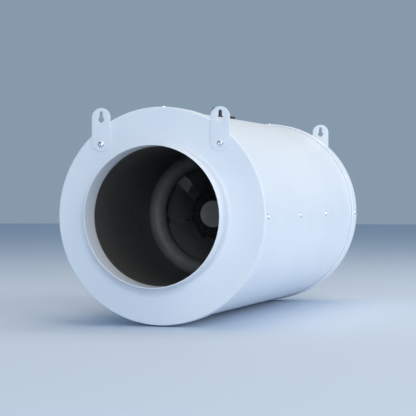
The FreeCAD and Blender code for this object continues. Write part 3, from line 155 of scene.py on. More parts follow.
def noise(material, grain, detail=3.0, stretch=(1, 1, 1)):
    """Cloudy noise whose grain is about that many metres across, in the piece's own coordinates."""
    place = add_node(material, "ShaderNodeTexCoord")
    mapping = add_node(material, "ShaderNodeMapping", Scale=stretch)
    cloud = add_node(material, "ShaderNodeTexNoise", Scale=1 / grain, Detail=detail)
    link(material, place.outputs["Object"], mapping.inputs["Vector"])
    link(material, mapping.outputs["Vector"], cloud.inputs["Vector"])
    return cloud.outputs["Fac"]


def cells(material, grain, stretch=(1, 1, 1)):
    """Distance to the nearest of scattered points, for pores and flakes."""
    place = add_node(material, "ShaderNodeTexCoord")
    mapping = add_node(material, "ShaderNodeMapping", Scale=stretch)
    pores = add_node(material, "ShaderNodeTexVoronoi", Scale=1 / grain)
    link(material, place.outputs["Object"], mapping.inputs["Vector"])
    link(material, mapping.outputs["Vector"], pores.inputs["Vector"])
    return pores.outputs["Distance"]


def spread(material, source, low, high):
    """The source's middle range stretched between two numbers."""
    ramp = add_node(material, "ShaderNodeMapRange", From_Min=0.3, From_Max=0.7, To_Min=low, To_Max=high)
    link(material, source, ramp.inputs["Value"])
    return ramp.outputs["Result"]


def from_axis(material, inner, outer, grain, drift=0.06):
    """0 inside one radius round the duct axis, 1 outside another, with a little noise between."""
    place = add_node(material, "ShaderNodeTexCoord")
    flat = add_node(material, "ShaderNodeMapping", Scale=(1, 0, 1))
    reach = add_node(material, "ShaderNodeVectorMath")
    reach.operation = "LENGTH"
    ramp = add_node(material, "ShaderNodeMapRange", From_Min=inner, From_Max=outer)
    total = add_node(material, "ShaderNodeMath")
    total.operation = "MULTIPLY_ADD"
    total.inputs[1].default_value = drift
    link(material, place.outputs["Object"], flat.inputs["Vector"])
    link(material, flat.outputs["Vector"], reach.inputs[0])
    link(material, reach.outputs["Value"], ramp.inputs["Value"])
    link(material, noise(material, grain), total.inputs[0])
    link(material, ramp.outputs["Result"], total.inputs[2])
    return total.outputs["Value"]


def shade(material, source, stops):
    """Base colour through stops (place, grey), a touch warm; here it carries painted shade and painted light."""
    more_red, less_blue = 1.03, 0.96
    ramp = add_node(material, "ShaderNodeValToRGB")
    elements = ramp.color_ramp.elements
    while len(elements) < len(stops):
        elements.new(0.5)
    for element, (place, grey) in zip(elements, stops):
        element.position = place
        element.color = (more_red * grey, grey, less_blue * grey, 1)
    link(material, source, ramp.inputs["Fac"])
    link(material, ramp.outputs["Color"], surface_of(material).inputs["Base Color"])


def tint(material, source, dark, light):
    """Base colour that drifts between two tones with the source."""
    mix = add_node(material, "ShaderNodeMix")
    mix.data_type = "RGBA"
    colours = [socket for socket in mix.inputs if socket.type == "RGBA"]
    colours[0].default_value = (*dark, 1)
    colours[1].default_value = (*light, 1)
    link(material, spread(material, source, 0, 1), mix.inputs["Factor"])
    result = next(socket for socket in mix.outputs if socket.type == "RGBA")
    link(material, result, surface_of(material).inputs["Base Color"])


def roughen(material, source, low, high):
    """Roughness that drifts between two numbers with the source."""
    link(material, spread(material, source, low, high), surface_of(material).inputs["Roughness"])


def emboss(material, *layers):
    """Bumps, one on the other. Each layer is a source, its height in metres and its strength."""
    normal = None
    for source, height, strength in layers:
        bump = add_node(material, "ShaderNodeBump", Distance=height, Strength=strength)
        link(material, source, bump.inputs["Height"])
        if normal:
            link(material, normal, bump.inputs["Normal"])
        normal = bump.outputs["Normal"]
    link(material, normal, surface_of(material).inputs["Normal"])


def white_powder_coat():
    """Cool white powder coat: satin, with a faint orange peel and drifting gloss."""
    look = plain("white_powder_coat", (0.80, 0.84, 0.90), 0.36, Coat_Weight=0.12, Coat_Roughness=0.22)
    tint(look, noise(look, 90 * MM, 2), (0.775, 0.815, 0.885), (0.81, 0.845, 0.905))
    roughen(look, noise(look, 14 * MM, 4), 0.35, 0.41)
    emboss(look, (noise(look, 3.2 * MM, 2), 0.012 * MM, 0.35), (noise(look, 0.6 * MM, 2), 0.004 * MM, 0.4))
    return look


def bright_zinc():
    """Bright zinc plate on screw heads, with fine turning marks."""
    look = plain("bright_zinc", (0.80, 0.83, 0.88), 0.14, Metallic=1.0)
    tint(look, noise(look, 1.5 * MM, 2), (0.74, 0.77, 0.82), (0.86, 0.89, 0.93))
    roughen(look, noise(look, 0.7 * MM, 3), 0.09, 0.22)
    emboss(look, (noise(look, 0.5 * MM, 2), 0.01 * MM, 0.4))
    return look


def galvanised_sheet():
    """Hot-dip sheet with spangle."""
    look = plain("galvanised_sheet", (0.60, 0.62, 0.65), 0.38, Metallic=1.0)
    tint(look, cells(look, 9 * MM), (0.52, 0.54, 0.57), (0.68, 0.70, 0.72))
    roughen(look, cells(look, 7 * MM), 0.28, 0.5)
    emboss(look, (noise(look, 1.4 * MM, 3), 0.02 * MM, 0.5))
    return look


def black_fleece():
    """Matt black acoustic fleece: short fibres lying every way, with thin and thick patches."""
    look = plain("black_fleece", (0.074, 0.070, 0.066), 0.94, Specular_IOR_Level=0.2)
    tint(look, noise(look, 2.2 * MM, 5), (0.048, 0.0455, 0.043), (0.104, 0.099, 0.093))
    roughen(look, noise(look, 6 * MM, 3), 0.86, 0.98)
    along = noise(look, 1.6 * MM, 4, (1, 5, 1))
    across = noise(look, 1.3 * MM, 4, (5, 1, 5))
    emboss(look, (along, 0.35 * MM, 0.5), (across, 0.3 * MM, 0.5), (noise(look, 22 * MM, 2), 1.2 * MM, 0.3))
    return look


def open_foam():
    """Dark open-cell foam."""
    look = plain("open_foam", (0.05, 0.05, 0.055), 0.95)
    tint(look, noise(look, 3 * MM, 4), (0.032, 0.032, 0.036), (0.07, 0.07, 0.077))
    roughen(look, noise(look, 8 * MM, 2), 0.88, 0.99)
    emboss(look, (cells(look, 1.2 * MM), 0.6 * MM, 0.7))
    return look


def moulded_plastic(name, tone, low, high, grain=1.1 * MM, lift=0.012 * MM):
    """Satin moulded plastic with a fine eroded texture and slow drift in its gloss."""
    drift = 0.12
    look = plain(name, tone, (low + high) / 2, Specular_IOR_Level=0.5)
    dark = tuple((1 - drift) * part for part in tone)
    light = tuple((1 + drift) * part for part in tone)
    tint(look, noise(look, 11 * MM, 3), dark, light)
    roughen(look, noise(look, 5 * MM, 4), low, high)
    emboss(look, (noise(look, grain, 3), lift, 0.6), (noise(look, 26 * MM, 2), 0.15 * MM, 0.3))
    return look


def impeller_painted_shade_and_light():
    """The fan's black plastic with painted light: painted shade darkens the hub, and painted light makes the
    blades paler towards their tips.
    """
    hub_radius, tip_radius = 30 * MM, 74 * MM
    look = plain("impeller_painted_shade_and_light", (0.06, 0.06, 0.06), 0.5)
    reach = from_axis(look, hub_radius, tip_radius, 9 * MM)
    # painted shade keeps the hub near black; painted light lifts the blades, most at their tips
    shade(look, reach, ((0.04, 0.021), (0.13, 0.024), (0.22, 0.060), (0.55, 0.064), (1.0, 0.095)))
    roughen(look, noise(look, 5 * MM, 4), 0.44, 0.58)
    emboss(look, (noise(look, 1.1 * MM, 3), 0.012 * MM, 0.6), (noise(look, 26 * MM, 2), 0.15 * MM, 0.3))
    return look


def soft_rubber():
    """Matt black rubber."""
    look = plain("soft_rubber", (0.015, 0.015, 0.016), 0.75)
    tint(look, noise(look, 2 * MM, 3), (0.011, 0.011, 0.012), (0.022, 0.022, 0.023))
    roughen(look, noise(look, 3 * MM, 3), 0.66, 0.86)
    emboss(look, (noise(look, 0.8 * MM, 3), 0.03 * MM, 0.5))
    return look


def metal(name, tone, low, high, stretch, grain=0.9 * MM):
    """Bare metal with marks drawn out along one direction."""
    look = plain(name, tone, (low + high) / 2, Metallic=1.0)
    tint(look, noise(look, 6 * MM, 3, stretch), tuple(0.86 * part for part in tone), tone)
    roughen(look, noise(look, 4 * MM, 4, stretch), low, high)
    emboss(look, (noise(look, grain, 3, stretch), 0.02 * MM, 0.6))
    return look


def dark_magnet():
    """Sintered magnet, dark and grainy."""
    look = plain("dark_magnet", (0.14, 0.14, 0.15), 0.6, Metallic=0.6)
    tint(look, noise(look, 2 * MM, 4), (0.10, 0.10, 0.11), (0.17, 0.17, 0.18))
    roughen(look, noise(look, 2 * MM, 3), 0.5, 0.72)
    emboss(look, (noise(look, 0.5 * MM, 3), 0.03 * MM, 0.5))
    return look


def driver_board_green():
    """Solder mask over faint tracks."""
    look = plain("driver_board_green", (0.02, 0.13, 0.06), 0.35, Coat_Weight=0.5, Coat_Roughness=0.2)
    tint(look, cells(look, 4 * MM), (0.012, 0.09, 0.04), (0.03, 0.17, 0.08))
    roughen(look, noise(look, 3 * MM, 2), 0.28, 0.42)
    emboss(look, (cells(look, 3 * MM), 0.05 * MM, 0.4))
    return look


LOOKS = {
    "white_paint": white_powder_coat(),
    "zinc_screw": bright_zinc(),
    "steel_zinc": galvanised_sheet(),
    "black_facing": black_fleece(),
    "acoustic_foam": open_foam(),
    "fan_plastic": moulded_plastic("fan_plastic", (0.030, 0.030, 0.032), 0.42, 0.58),
    "nose_grey": moulded_plastic("nose_grey", (0.31, 0.292, 0.28), 0.40, 0.55),
    "gland_plastic": moulded_plastic("gland_plastic", (0.018, 0.018, 0.02), 0.34, 0.5, 0.8 * MM),
    "rubber_black": soft_rubber(),
    "motor_steel": metal("motor_steel", (0.50, 0.50, 0.52), 0.25, 0.42, (1, 6, 1)),
    "motor_alloy": metal("motor_alloy", (0.70, 0.71, 0.73), 0.38, 0.6, (1, 1, 1), 1.6 * MM),
    "magnet_dark": dark_magnet(),
    "lamination_steel": metal("lamination_steel", (0.34, 0.34, 0.36), 0.4, 0.6, (0.2, 9, 0.2)),
    "copper_wire": metal("copper_wire", (0.72, 0.36, 0.18), 0.28, 0.45, (0.3, 8, 0.3)),
    "board_green": driver_board_green(),
}
NODE_LOOKS = {              # nodes whose colour differs from the rest of their slot, as painted light or painted shade
    "impeller": impeller_painted_shade_and_light(),
    # painted light: the black fan plastic made several times paler on the bell mouth
    "bell_mouth": moulded_plastic("bell_mouth_painted_light", (0.128, 0.121, 0.116), 0.52, 0.64),
    # painted shade: the fan plastic made darker on the vanes and housing, so the gaps between the blades read dark
    "vane_carrier": moulded_plastic("vane_plastic_painted_shade", (0.012, 0.012, 0.012), 0.5, 0.66),
    "fan_housing": moulded_plastic("housing_plastic_painted_shade", (0.016, 0.016, 0.016), 0.5, 0.66),
    # painted shade: the rotor's steel made near black so the slots in the hub read dark
    "rotor_can": metal("steel_painted_shade_dark", (0.035, 0.035, 0.037), 0.45, 0.6, (1, 6, 1)),
}


# ---------------------------------------------------------------------------------------------
# Mesh helpers
# ---------------------------------------------------------------------------------------------

def full_turn(steps):
    """Equal angles round a circle."""
    return [TURN * step / steps for step in range(steps)]


def arc(centre, radius, start, end, steps):
    """Points along an arc of a section, with its angles in degrees from the radius axis."""
    angles = [math.radians(start + (end - start) * step / steps) for step in range(steps + 1)]
    return [(centre[0] + radius * math.cos(a), centre[1] + radius * math.sin(a)) for a in angles]


def corner_points(before, corner, after, rounding, steps):
    """A rounded corner, with a point just outside each of its ends so that flat faces shade flat."""
    corner = Vector(corner)
    to_before, to_after = Vector(before) - corner, Vector(after) - corner
    room = min(to_before.length, to_after.length)
    to_before.normalize()
    to_after.normalize()
    half = to_before.angle(to_after) / 2
    run = rounding / math.tan(half)
    centre = corner + (to_before + to_after).normalized() * rounding / math.sin(half)
    first, last = corner + to_before * run - centre, corner + to_after * run - centre
    sweep = -first.angle_signed(last)
    points = [centre + Matrix.Rotation(sweep * step / steps, 2) @ first for step in range(steps + 1)]
    support = run + rounding / 2
    if support < SUPPORT_SHARE * room:
        points = [corner + to_before * support] + points + [corner + to_after * support]
    return [tuple(point) for point in points]


def rounded(corners, steps=5):
    """A closed section or outline from corners (first, second, rounding), with round corners."""
    points = []
    for index, (first, second, rounding) in enumerate(corners):
        if rounding:
            before = corners[index - 1][:2]
            after = corners[(index + 1) % len(corners)][:2]
            points += corner_points(before, (first, second), after, rounding, steps)
        else:
            points.append((first, second))
    return points


def turned(section, angles, shape=None, closed=True, whole=True):
    """A section (radius, height) turned about its own Z.

    closed joins the section's ends, and whole joins the last angle to the first. shape(radius,
    height, angle) changes a point's radius.
    """
    mesh = bmesh.new()
    rings = []
    for angle in angles:
        ring = []
        for radius, height in section:
            reach = shape(radius, height, angle) if shape else radius
            ring.append(mesh.verts.new((reach * math.cos(angle), reach * math.sin(angle), height)))
        rings.append(ring)
    count = len(section)
    for index in range(len(rings) if whole else len(rings) - 1):
        here, there = rings[index], rings[(index + 1) % len(rings)]
        for step in range(count if closed else count - 1):
            following = (step + 1) % count
            mesh.faces.new((here[step], there[step], there[following], here[following]))
    if not whole:
        mesh.faces.new(rings[0])
        mesh.faces.new(rings[-1])
    bmesh.ops.remove_doubles(mesh, verts=mesh.verts, dist=WELD)
    return mesh


def hexagon_radius(flats, angle):
    """Reach of a hexagon of that width across its flats."""
    return flats / 2 / math.cos(angle % (TURN / 6) - TURN / 12)


def plate(outer, holes, thickness, edge):
    """A flat sheet part with holes and rounded edges, lying in its own XY plane."""
    sheet = bpy.data.curves.new("sheet", "CURVE")
    sheet.dimensions = "2D"
    sheet.fill_mode = "BOTH"
    for loop in (outer, *holes):
        spline = sheet.splines.new("POLY")
        spline.points.add(len(loop) - 1)
        spline.use_cyclic_u = True
        for point, (across, up) in zip(spline.points, loop):
            point.co = (across, up, 0, 1)
    sheet.extrude = thickness / 2 - edge
    sheet.bevel_depth = edge
    sheet.bevel_resolution = 3
    sheet.offset = -edge
    holder = bpy.data.objects.new("sheet", sheet)
    outcome = bpy.data.meshes.new_from_object(holder)
    mesh = bmesh.new()
    mesh.from_mesh(outcome)
    bmesh.ops.remove_doubles(mesh, verts=mesh.verts, dist=10 * WELD)
    bpy.data.objects.remove(holder)
    bpy.data.curves.remove(sheet)
    bpy.data.meshes.remove(outcome)
    return mesh


def add_piece(name, mesh, place, body, slot, *nodes):
    """Makes a piece from a mesh, and says what it rides on, its finish and the nodes it stands for."""
    mesh.transform(place)
    bmesh.ops.recalc_face_normals(mesh, faces=mesh.faces)
    data = bpy.data.meshes.new(name)
    mesh.to_mesh(data)
    mesh.free()
    for polygon in data.polygons:
        polygon.use_smooth = True
    data.set_sharp_from_angle(angle=SHARP)
    data.materials.append(NODE_LOOKS.get(nodes[0], LOOKS[slot]))
    piece = bpy.data.objects.new(name, data)
    bpy.context.scene.collection.objects.link(piece)
    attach(piece, body)
    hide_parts(*nodes)
    return piece


def facing(position, outwards, twist=0.0):
    """A place whose own Z points outwards, turned by twist about it."""
    turn = Vector(outwards).to_track_quat("Z", "Y").to_matrix().to_4x4()
    return Matrix.Translation(position) @ turn @ Matrix.Rotation(twist, 4, "Z")


# ---------------------------------------------------------------------------------------------
# Casing, caps and collars
# ---------------------------------------------------------------------------------------------

def make_casing():
    """The rolled tube, with a lock seam along its underside."""
    seam_half, groove_half, groove_depth, edge = 3.5 * MM, 0.5 * MM, 0.45 * MM, 0.3 * MM
    seam_angle = TURN / 4                       # straight down once the part lies along the duct
    clear = (seam_half + 2 * groove_half) / casing_radius

    def offset_from_seam(angle):
        return (angle - seam_angle) * casing_radius

    def with_seam(radius, height, angle):
        distance = abs(abs(offset_from_seam(angle)) - seam_half)
        return radius - groove_depth * max(0.0, 1 - distance / groove_half)

    angles = [angle for angle in full_turn(ROUND) if abs(angle - seam_angle) > clear]
    for side in (-1, 1):
        for step in (-1, 0, 1):
            angles.append(seam_angle + (side * seam_half + step * groove_half) / casing_radius)
    inner = casing_radius - CASING_WALL
    section = rounded([
        (inner, casing_start, 0), (casing_radius, casing_start, edge),
        (casing_radius, casing_end, edge), (inner, casing_end, 0)])
    add_piece("casing_shell", turned(section, sorted(angles), with_seam), ALONG_DUCT, "casing",
              "white_paint", "outer_casing")


def make_cap(end, place):
    """An end cap: ring face, drawn lip round the collar, rounded rim, skirt and folded hem."""
    lip_inside, lip_outside, skirt_edge, bend, cut = 0.5 * MM, 0.6 * MM, 0.9 * MM, 0.8 * MM, 0.2 * MM
    bore = neck_radius + FIT
    lip = bore + LIP_WALL
    hem = casing_radius + FIT
    inside = cap_radius - CAP_WALL
    back = cap_face + CAP_WALL
    section = rounded([
        (bore, lip_start, lip_inside), (lip, lip_start, lip_outside), (lip, cap_face, LIP_FILLET),
        (cap_radius, cap_face, CAP_EDGE), (cap_radius, skirt_end, skirt_edge),
        (hem, skirt_end, skirt_edge), (hem, skirt_end - HEM, cut),
        (inside, skirt_end - HEM, cut), (inside, back, bend), (bore, back, cut)])
    add_piece(f"{end}_cap", turned(section, full_turn(ROUND)), place @ ALONG_DUCT, "casing",
              "white_paint", f"{end}_end_cap")


def make_collar(port, place):
    """A duct collar: thin sheet with a rounded rim, and its flange behind the cap."""
    rim, edge = 0.5 * MM, 0.3 * MM
    flange_front = collar_end - COLLAR_WALL
    section = rounded([
        (duct_inner, 0, rim), (duct_radius, 0, rim), (duct_radius, lip_start, edge),
        (neck_radius, lip_start, 0), (neck_radius, flange_front, 0),
        (flange_radius, flange_front, edge), (flange_radius, collar_end, edge),
        (duct_inner, collar_end, edge)])
    add_piece(f"{port}_spigot", turned(section, full_turn(ROUND)), place @ ALONG_DUCT, "casing",
              "white_paint", f"{port}_collar")


# ---------------------------------------------------------------------------------------------
# Hanging brackets and screws
# ---------------------------------------------------------------------------------------------

def loop_of(arcs, steps=28):
    """One closed outline from arcs (centre height, radius, start, end) centred on the strap's line."""
    points = []
    for height, radius, start, end in arcs:
        points += arc((0, height), radius, start, end, steps)
    return points


def make_bracket(node, body, screw_height):
    """A hanging bracket: a strap with round ends, a keyhole and a pivot hole, edges rounded."""
    low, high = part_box(node)
    half_width = (high.x - low.x) / 2
    edge, slot_half, slot_rise, pivot = 0.4 * MM, 2.75 * MM, 9.1 * MM, 2.55 * MM
    last_step = 12                              # degrees left for the edge that closes the pivot hole
    keyhole = mounts[node.replace("bracket", "keyhole")]
    keyhole_height = keyhole["pos_m"][2]
    round_part = keyhole["dims"]["r_mm"] * MM
    strap = loop_of([
        (low.z + half_width, half_width, 180, 360), (high.z - half_width, half_width, 0, 180)])
    shoulder = math.degrees(math.acos(slot_half / round_part))
    hole = loop_of([
        (keyhole_height, round_part, shoulder, shoulder - 180 - 2 * shoulder),
        (keyhole_height + slot_rise, slot_half, 180, 0)])
    pivot_hole = loop_of([(screw_height, pivot, 360, last_step)])
    across = (low.x + high.x) / 2
    upright = Matrix.Rotation(math.pi / 2, 4, "X")
    place = Matrix.Translation((across, (low.y + high.y) / 2, 0)) @ upright
    sheet = plate(strap, (hole, pivot_hole), high.y - low.y, edge)
    add_piece(f"{body}_strap", sheet, place, body, "white_paint", node)


def button_screw(head, shank, reach, socket_share=0.58):
    """A button-head screw with a hexagon socket. Its own Z points out of the head."""
    radius, height = head
    rim, bevel, foot = 0.35 * MM, 0.12 * MM, 0.1 * MM
    steps = 8
    crown = radius * 0.42
    dome = height - rim
    ball = (radius ** 2 + dome ** 2) / (2 * dome)
    flats = radius * socket_share
    profile = [(0, -reach), (shank, -reach), (shank, -FIT), (radius - bevel, 0), (radius, foot)]
    for step in range(steps + 1):
        across = radius + (crown - radius) * step / steps
        profile.append((across, height - ball + math.sqrt(ball ** 2 - across ** 2)))
    top = profile[-1][1]
    lead_in = 0.62 * flats                      # radius of the chamfer at the socket's mouth
    mouth, wall_end, floor = top - 0.02 * MM, top - 0.62 * dome, top - 0.74 * dome
    socket = [(lead_in, mouth), (flats / 2, top - bevel), (flats / 2, wall_end), (0, floor)]

    def with_socket(across, level, angle):
        if across == flats / 2 and level < mouth:
            return hexagon_radius(flats, angle)
        return across

    return turned(profile + socket, full_turn(SMALL_ROUND), with_socket, closed=False)


def make_screws():
    """Bracket screws, the skirt screws at the clock quarters and the fan's screws on the sides."""
    shank, skirt_reach, rail_reach = 1.9 * MM, 8.5 * MM, 9 * MM
    pivot_shank, pivot_reach, pivot_socket = 2.5 * MM, 9.7 * MM, 0.36
    pivot_twist, skirt_twist, rail_twist = 0.7, 1.1, 0.9        # so that no two sockets stand alike
    for index, (name, joint) in enumerate(sorted(joints.items())):
        if "swivel" not in name:
            continue
        across, along, height = joint["pos_m"]
        out = -1 if along < total_length / 2 else 1
        seat = along + out * (STRAP_HALF + FIT)
        place = facing((across, seat, height), (0, out, 0), pivot_twist * index)
        screw = button_screw(PIVOT_HEAD, pivot_shank, pivot_reach, pivot_socket)
        add_piece(name.replace("swivel", "bracket_screw"), screw, place, "casing", "zinc_screw",
                  "bracket_screws")
    hours = (("twelve", 0, 1), ("three", 1, 0), ("six", 0, -1), ("nine", -1, 0))
    for end, _, _ in ENDS:
        low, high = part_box(f"cap_screws_{end}")
        row = (low.y + high.y) / 2
        for index, (hour, across, up) in enumerate(hours):
            position = (across * cap_radius, row, up * cap_radius)
            add_piece(f"{end}_skirt_screw_{hour}", button_screw(FAN_HEAD, shank, skirt_reach),
                      facing(position, (across, 0, up), skirt_twist * index), "casing", "zinc_screw",
                      f"cap_screws_{end}")
    low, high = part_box("fan_screws")
    rows = (low.y + FAN_HEAD[0], high.y - FAN_HEAD[0])
    for row_name, row in zip(("front", "rear"), rows):
        for side_name, side in (("left", -1), ("right", 1)):
            twist = rail_twist * row / rows[1] + side
            place = facing((side * casing_radius, row, 0), (side, 0, 0), twist)
            add_piece(f"fan_screw_{row_name}_{side_name}", button_screw(FAN_HEAD, shank, rail_reach),
                      place, "casing", "zinc_screw", "fan_screws")


# ---------------------------------------------------------------------------------------------
# Lining
# ---------------------------------------------------------------------------------------------

def slow_waves(depth, pitch):
    """A gentle unevenness of laid fleece: slow waves that fade into each other."""
    def shape(radius, height, angle):
        wave = math.sin(5 * angle + height / pitch) + math.sin(11 * angle - 1.7 * height / pitch)
        return radius - depth * (1 + 0.5 * wave)
    return shape


def make_lining():
    """The fleece facings of both ducts."""
    wave_depth, wave_pitch, steps = 0.12 * MM, 17 * MM, 40
    inner = facing_outer - FACING_WALL
    for _, port, _ in ENDS:
        low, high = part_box(f"{port}_facing")
        lengths = [low.y + (high.y - low.y) * step / steps for step in range(steps + 1)]
        section = [(inner, along) for along in lengths]
        section += [(facing_outer, along) for along in reversed(lengths)]
        sleeve = turned(section, full_turn(ROUND), slow_waves(wave_depth, wave_pitch))
        add_piece(f"{port}_fleece", sleeve, ALONG_DUCT, "casing", "black_facing", f"{port}_facing")


def divided(section, step):
    """A closed section with extra points, so that no stretch of it is longer than step."""
    points = []
    for here, there in zip(section, section[1:] + section[:1]):
        count = math.ceil(math.dist(here, there) / step)
        for part in range(count):
            share = part / count
            points.append(tuple(a + (b - a) * share for a, b in zip(here, there)))
    return points


def foam_section(corners):
    """A foam section with soft cut edges, fine enough for its surface to be uneven."""
    edge, longest = 2 * MM, 5 * MM
    return divided(rounded([(*corner, edge) for corner in corners], 4), longest)


def cut_foam(middle, pockets=()):
    """Cut foam: its faces sink a little, unevenly, and pockets (along, depth) open on top."""
    unevenness, long_wave, short_wave = 0.35 * MM, 13 * MM, 9 * MM
    pocket_radius, pocket_slope = 18 * MM, 4 * MM

    def shape(radius, height, angle):
        sink = unevenness * (1 + 0.5 * math.sin(7 * angle + height / long_wave)
                             + 0.5 * math.sin(12 * angle - height / short_wave))
        if radius < middle:
            return radius + sink
        for along, depth in pockets:
            distance = math.hypot(radius * math.cos(angle), height - along)
            if math.sin(angle) < 0:
                sink += depth * min(1.0, max(0.0, (pocket_radius - distance) / pocket_slope))
        return radius - sink

    return shape


def make_foam():
    """The foam sleeves behind the facings, and the two halves of the foam round the fan unit."""
    bracket_room, pocket_depth, cut_room, parts = 4 * MM, 12 * MM, 0.004, 150
    inner = duct_inner + FIT
    low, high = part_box("inlet_foam")
    outer = high.x - FIT
    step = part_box("fan_bracket_left")[0].y - bracket_room
    front = foam_section([
        (inner, low.y), (outer, low.y), (outer, step), (SLEEVE, step), (SLEEVE, high.y), (inner, high.y)])
    add_piece("inlet_sleeve", turned(front, full_turn(ROUND), cut_foam((inner + SLEEVE) / 2)),
              ALONG_DUCT, "casing", "acoustic_foam", "inlet_foam")
    low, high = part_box("outlet_foam")
    rear = foam_section([(inner, low.y), (outer, low.y), (outer, high.y), (inner, high.y)])
    add_piece("outlet_sleeve", turned(rear, full_turn(ROUND), cut_foam((inner + outer) / 2)),
              ALONG_DUCT, "casing", "acoustic_foam", "outlet_foam")
    low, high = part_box("fan_foam")
    wrap = foam_section([(WRAP, low.y), (outer, low.y), (outer, high.y), (WRAP, high.y)])
    pockets = [(mounts[name]["pos_m"][1], pocket_depth) for name in ("cable_entry", "control_jack")]
    gap = math.asin(SLOT_HALF / WRAP) + cut_room
    for half, start in (("lower", 0), ("upper", TURN / 2)):
        angles = [start + gap + (TURN / 2 - 2 * gap) * part / parts for part in range(parts + 1)]
        mesh = turned(wrap, angles, cut_foam((WRAP + outer) / 2, pockets), whole=False)
        add_piece(f"fan_wrap_{half}", mesh, ALONG_DUCT, "casing", "acoustic_foam", "fan_foam")


def make_bell_mouth():
    """The rolled inlet ring in front of the impeller, with its throat and flange."""
    low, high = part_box("bell_mouth")
    major = high.x - BELL_MINOR
    centre = (major, low.y + BELL_MINOR)
    throat = major - BELL_MINOR
    inner = BELL_MINOR - BELL_WALL
    lip = BELL_WALL / 2
    flange_front = high.y - JOINT_FLANGE
    flange_rim = throat + JOINT_WIDTH
    section = (
        arc(centre, BELL_MINOR, 180, 360, 36)
        + arc((major + BELL_MINOR - lip, centre[1]), lip, 0, 180, 6)[1:-1]
        + arc(centre, inner, 360, 180, 30)
        + [(throat + BELL_WALL, flange_front), (flange_rim, flange_front), (flange_rim, high.y),
           (throat, high.y)])
    add_piece("bell_mouth_ring", turned(section, full_turn(ROUND)), ALONG_DUCT, "casing",
              "fan_plastic", "bell_mouth")


def make_nose():
    """The nose cap on the hub: a shallow dished face with a rounded rim."""
    low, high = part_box("nose_cap")
    radius = high.x
    dish, edge, back_edge, steps = 0.25 * MM, 1.1 * MM, 0.2 * MM, 96
    face = [(radius * share, low.y + dish * (1 - share ** 2)) for share in (0, 0.3, 0.6, 0.85)]
    rim = rounded([(radius * 0.92, low.y, 0), (radius, low.y, edge), (radius, high.y, back_edge),
                   (0, high.y, 0)])
    add_piece("nose_button", turned(face + rim, full_turn(steps), closed=False), ALONG_DUCT, "rotor",
              "nose_grey", "nose_cap")


# ---------------------------------------------------------------------------------------------
# Cable gland and control socket
# ---------------------------------------------------------------------------------------------

def make_gland_body(place, bore, neck, flats):
    """The gland's body: a thread, a chamfered hexagon and the neck that the nut goes over."""
    low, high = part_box("gland_body")
    thread, chamfer, past_flats, cone_slope = 8 * MM, 0.7 * MM, 0.35 * MM, 1.7
    hex_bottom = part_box("gland_washer")[1].z
    hex_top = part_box("gland_nut")[0].z - FIT
    half = flats / 2

    def hexagonal(radius, height, angle):
        if radius < half - FIT:
            return radius
        inset = min(height - hex_bottom, hex_top - height)
        cone = half + past_flats + cone_slope * max(inset, 0)
        return min(hexagon_radius(flats, angle), cone)

    section = [
        (bore, low.z), (thread, low.z), (thread, hex_bottom), (half, hex_bottom),
        (half, hex_bottom + chamfer), (half, hex_top - chamfer), (half, hex_top), (neck, hex_top),
        (neck, high.z), (bore, high.z)]
    add_piece("gland_hexagon", turned(section, full_turn(144), hexagonal), place, "casing",
              "gland_plastic", "gland_body")


def make_gland_nut(place, bore, neck, seal_top):
    """The gland's nut: a fluted grip under a dome, open in the middle for the cable."""
    low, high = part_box("gland_nut")
    radius = high.x
    grip_top = low.z + 0.6 * (high.z - low.z)
    dome, lead_in, steps = 4.6 * MM, 0.3 * MM, 8
    flutes, flute_depth, top_fade, foot_fade = 16, 0.45 * MM, 1.2 * MM, 0.5 * MM

    def fluted(reach, height, angle):
        if reach < radius - flute_depth or height > grip_top:
            return reach
        fade = min(1.0, (grip_top - height) / top_fade, (height - low.z) / foot_fade)
        return reach - flute_depth * fade * max(0.0, math.cos(flutes * angle)) ** 2

    levels = [low.z + (grip_top - low.z) * step / steps for step in range(steps + 1)]
    section = ([(neck + FIT, low.z)] + [(radius, level) for level in levels]
               + arc((radius - dome, high.z - dome), dome, 0, 90, 9)
               + [(bore + lead_in, high.z), (bore, high.z - lead_in),
                  (bore, seal_top + FIT), (neck + FIT, seal_top + FIT)])
    add_piece("gland_dome", turned(section, full_turn(ROUND), fluted), place, "casing",
              "gland_plastic", "gland_nut")


def make_gland():
    """The cable gland: chamfered hexagon, fluted domed nut and the rubber seal inside it."""
    nut_low, nut_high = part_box("gland_nut")
    seal_low, seal_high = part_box("gland_seal")
    place = Matrix.Translation((0, (nut_low.y + nut_high.y) / 2, 0))
    cable = mounts["cable_entry"]["dims"]["r_mm"] * MM
    bore, neck, flats, lip = cable + 0.6 * MM, nut_high.x - 2.4 * MM, 20 * MM, 0.5 * MM
    make_gland_body(place, bore, neck, flats)
    make_gland_nut(place, bore, neck, seal_high.z)
    seal = rounded([
        (cable, seal_low.z, 0), (seal_high.x, seal_low.z, lip), (seal_high.x, seal_high.z, lip),
        (cable, seal_high.z, lip)])
    add_piece("gland_rubber", turned(seal, full_turn(SMALL_ROUND)), place, "casing", "rubber_black",
              "gland_seal")


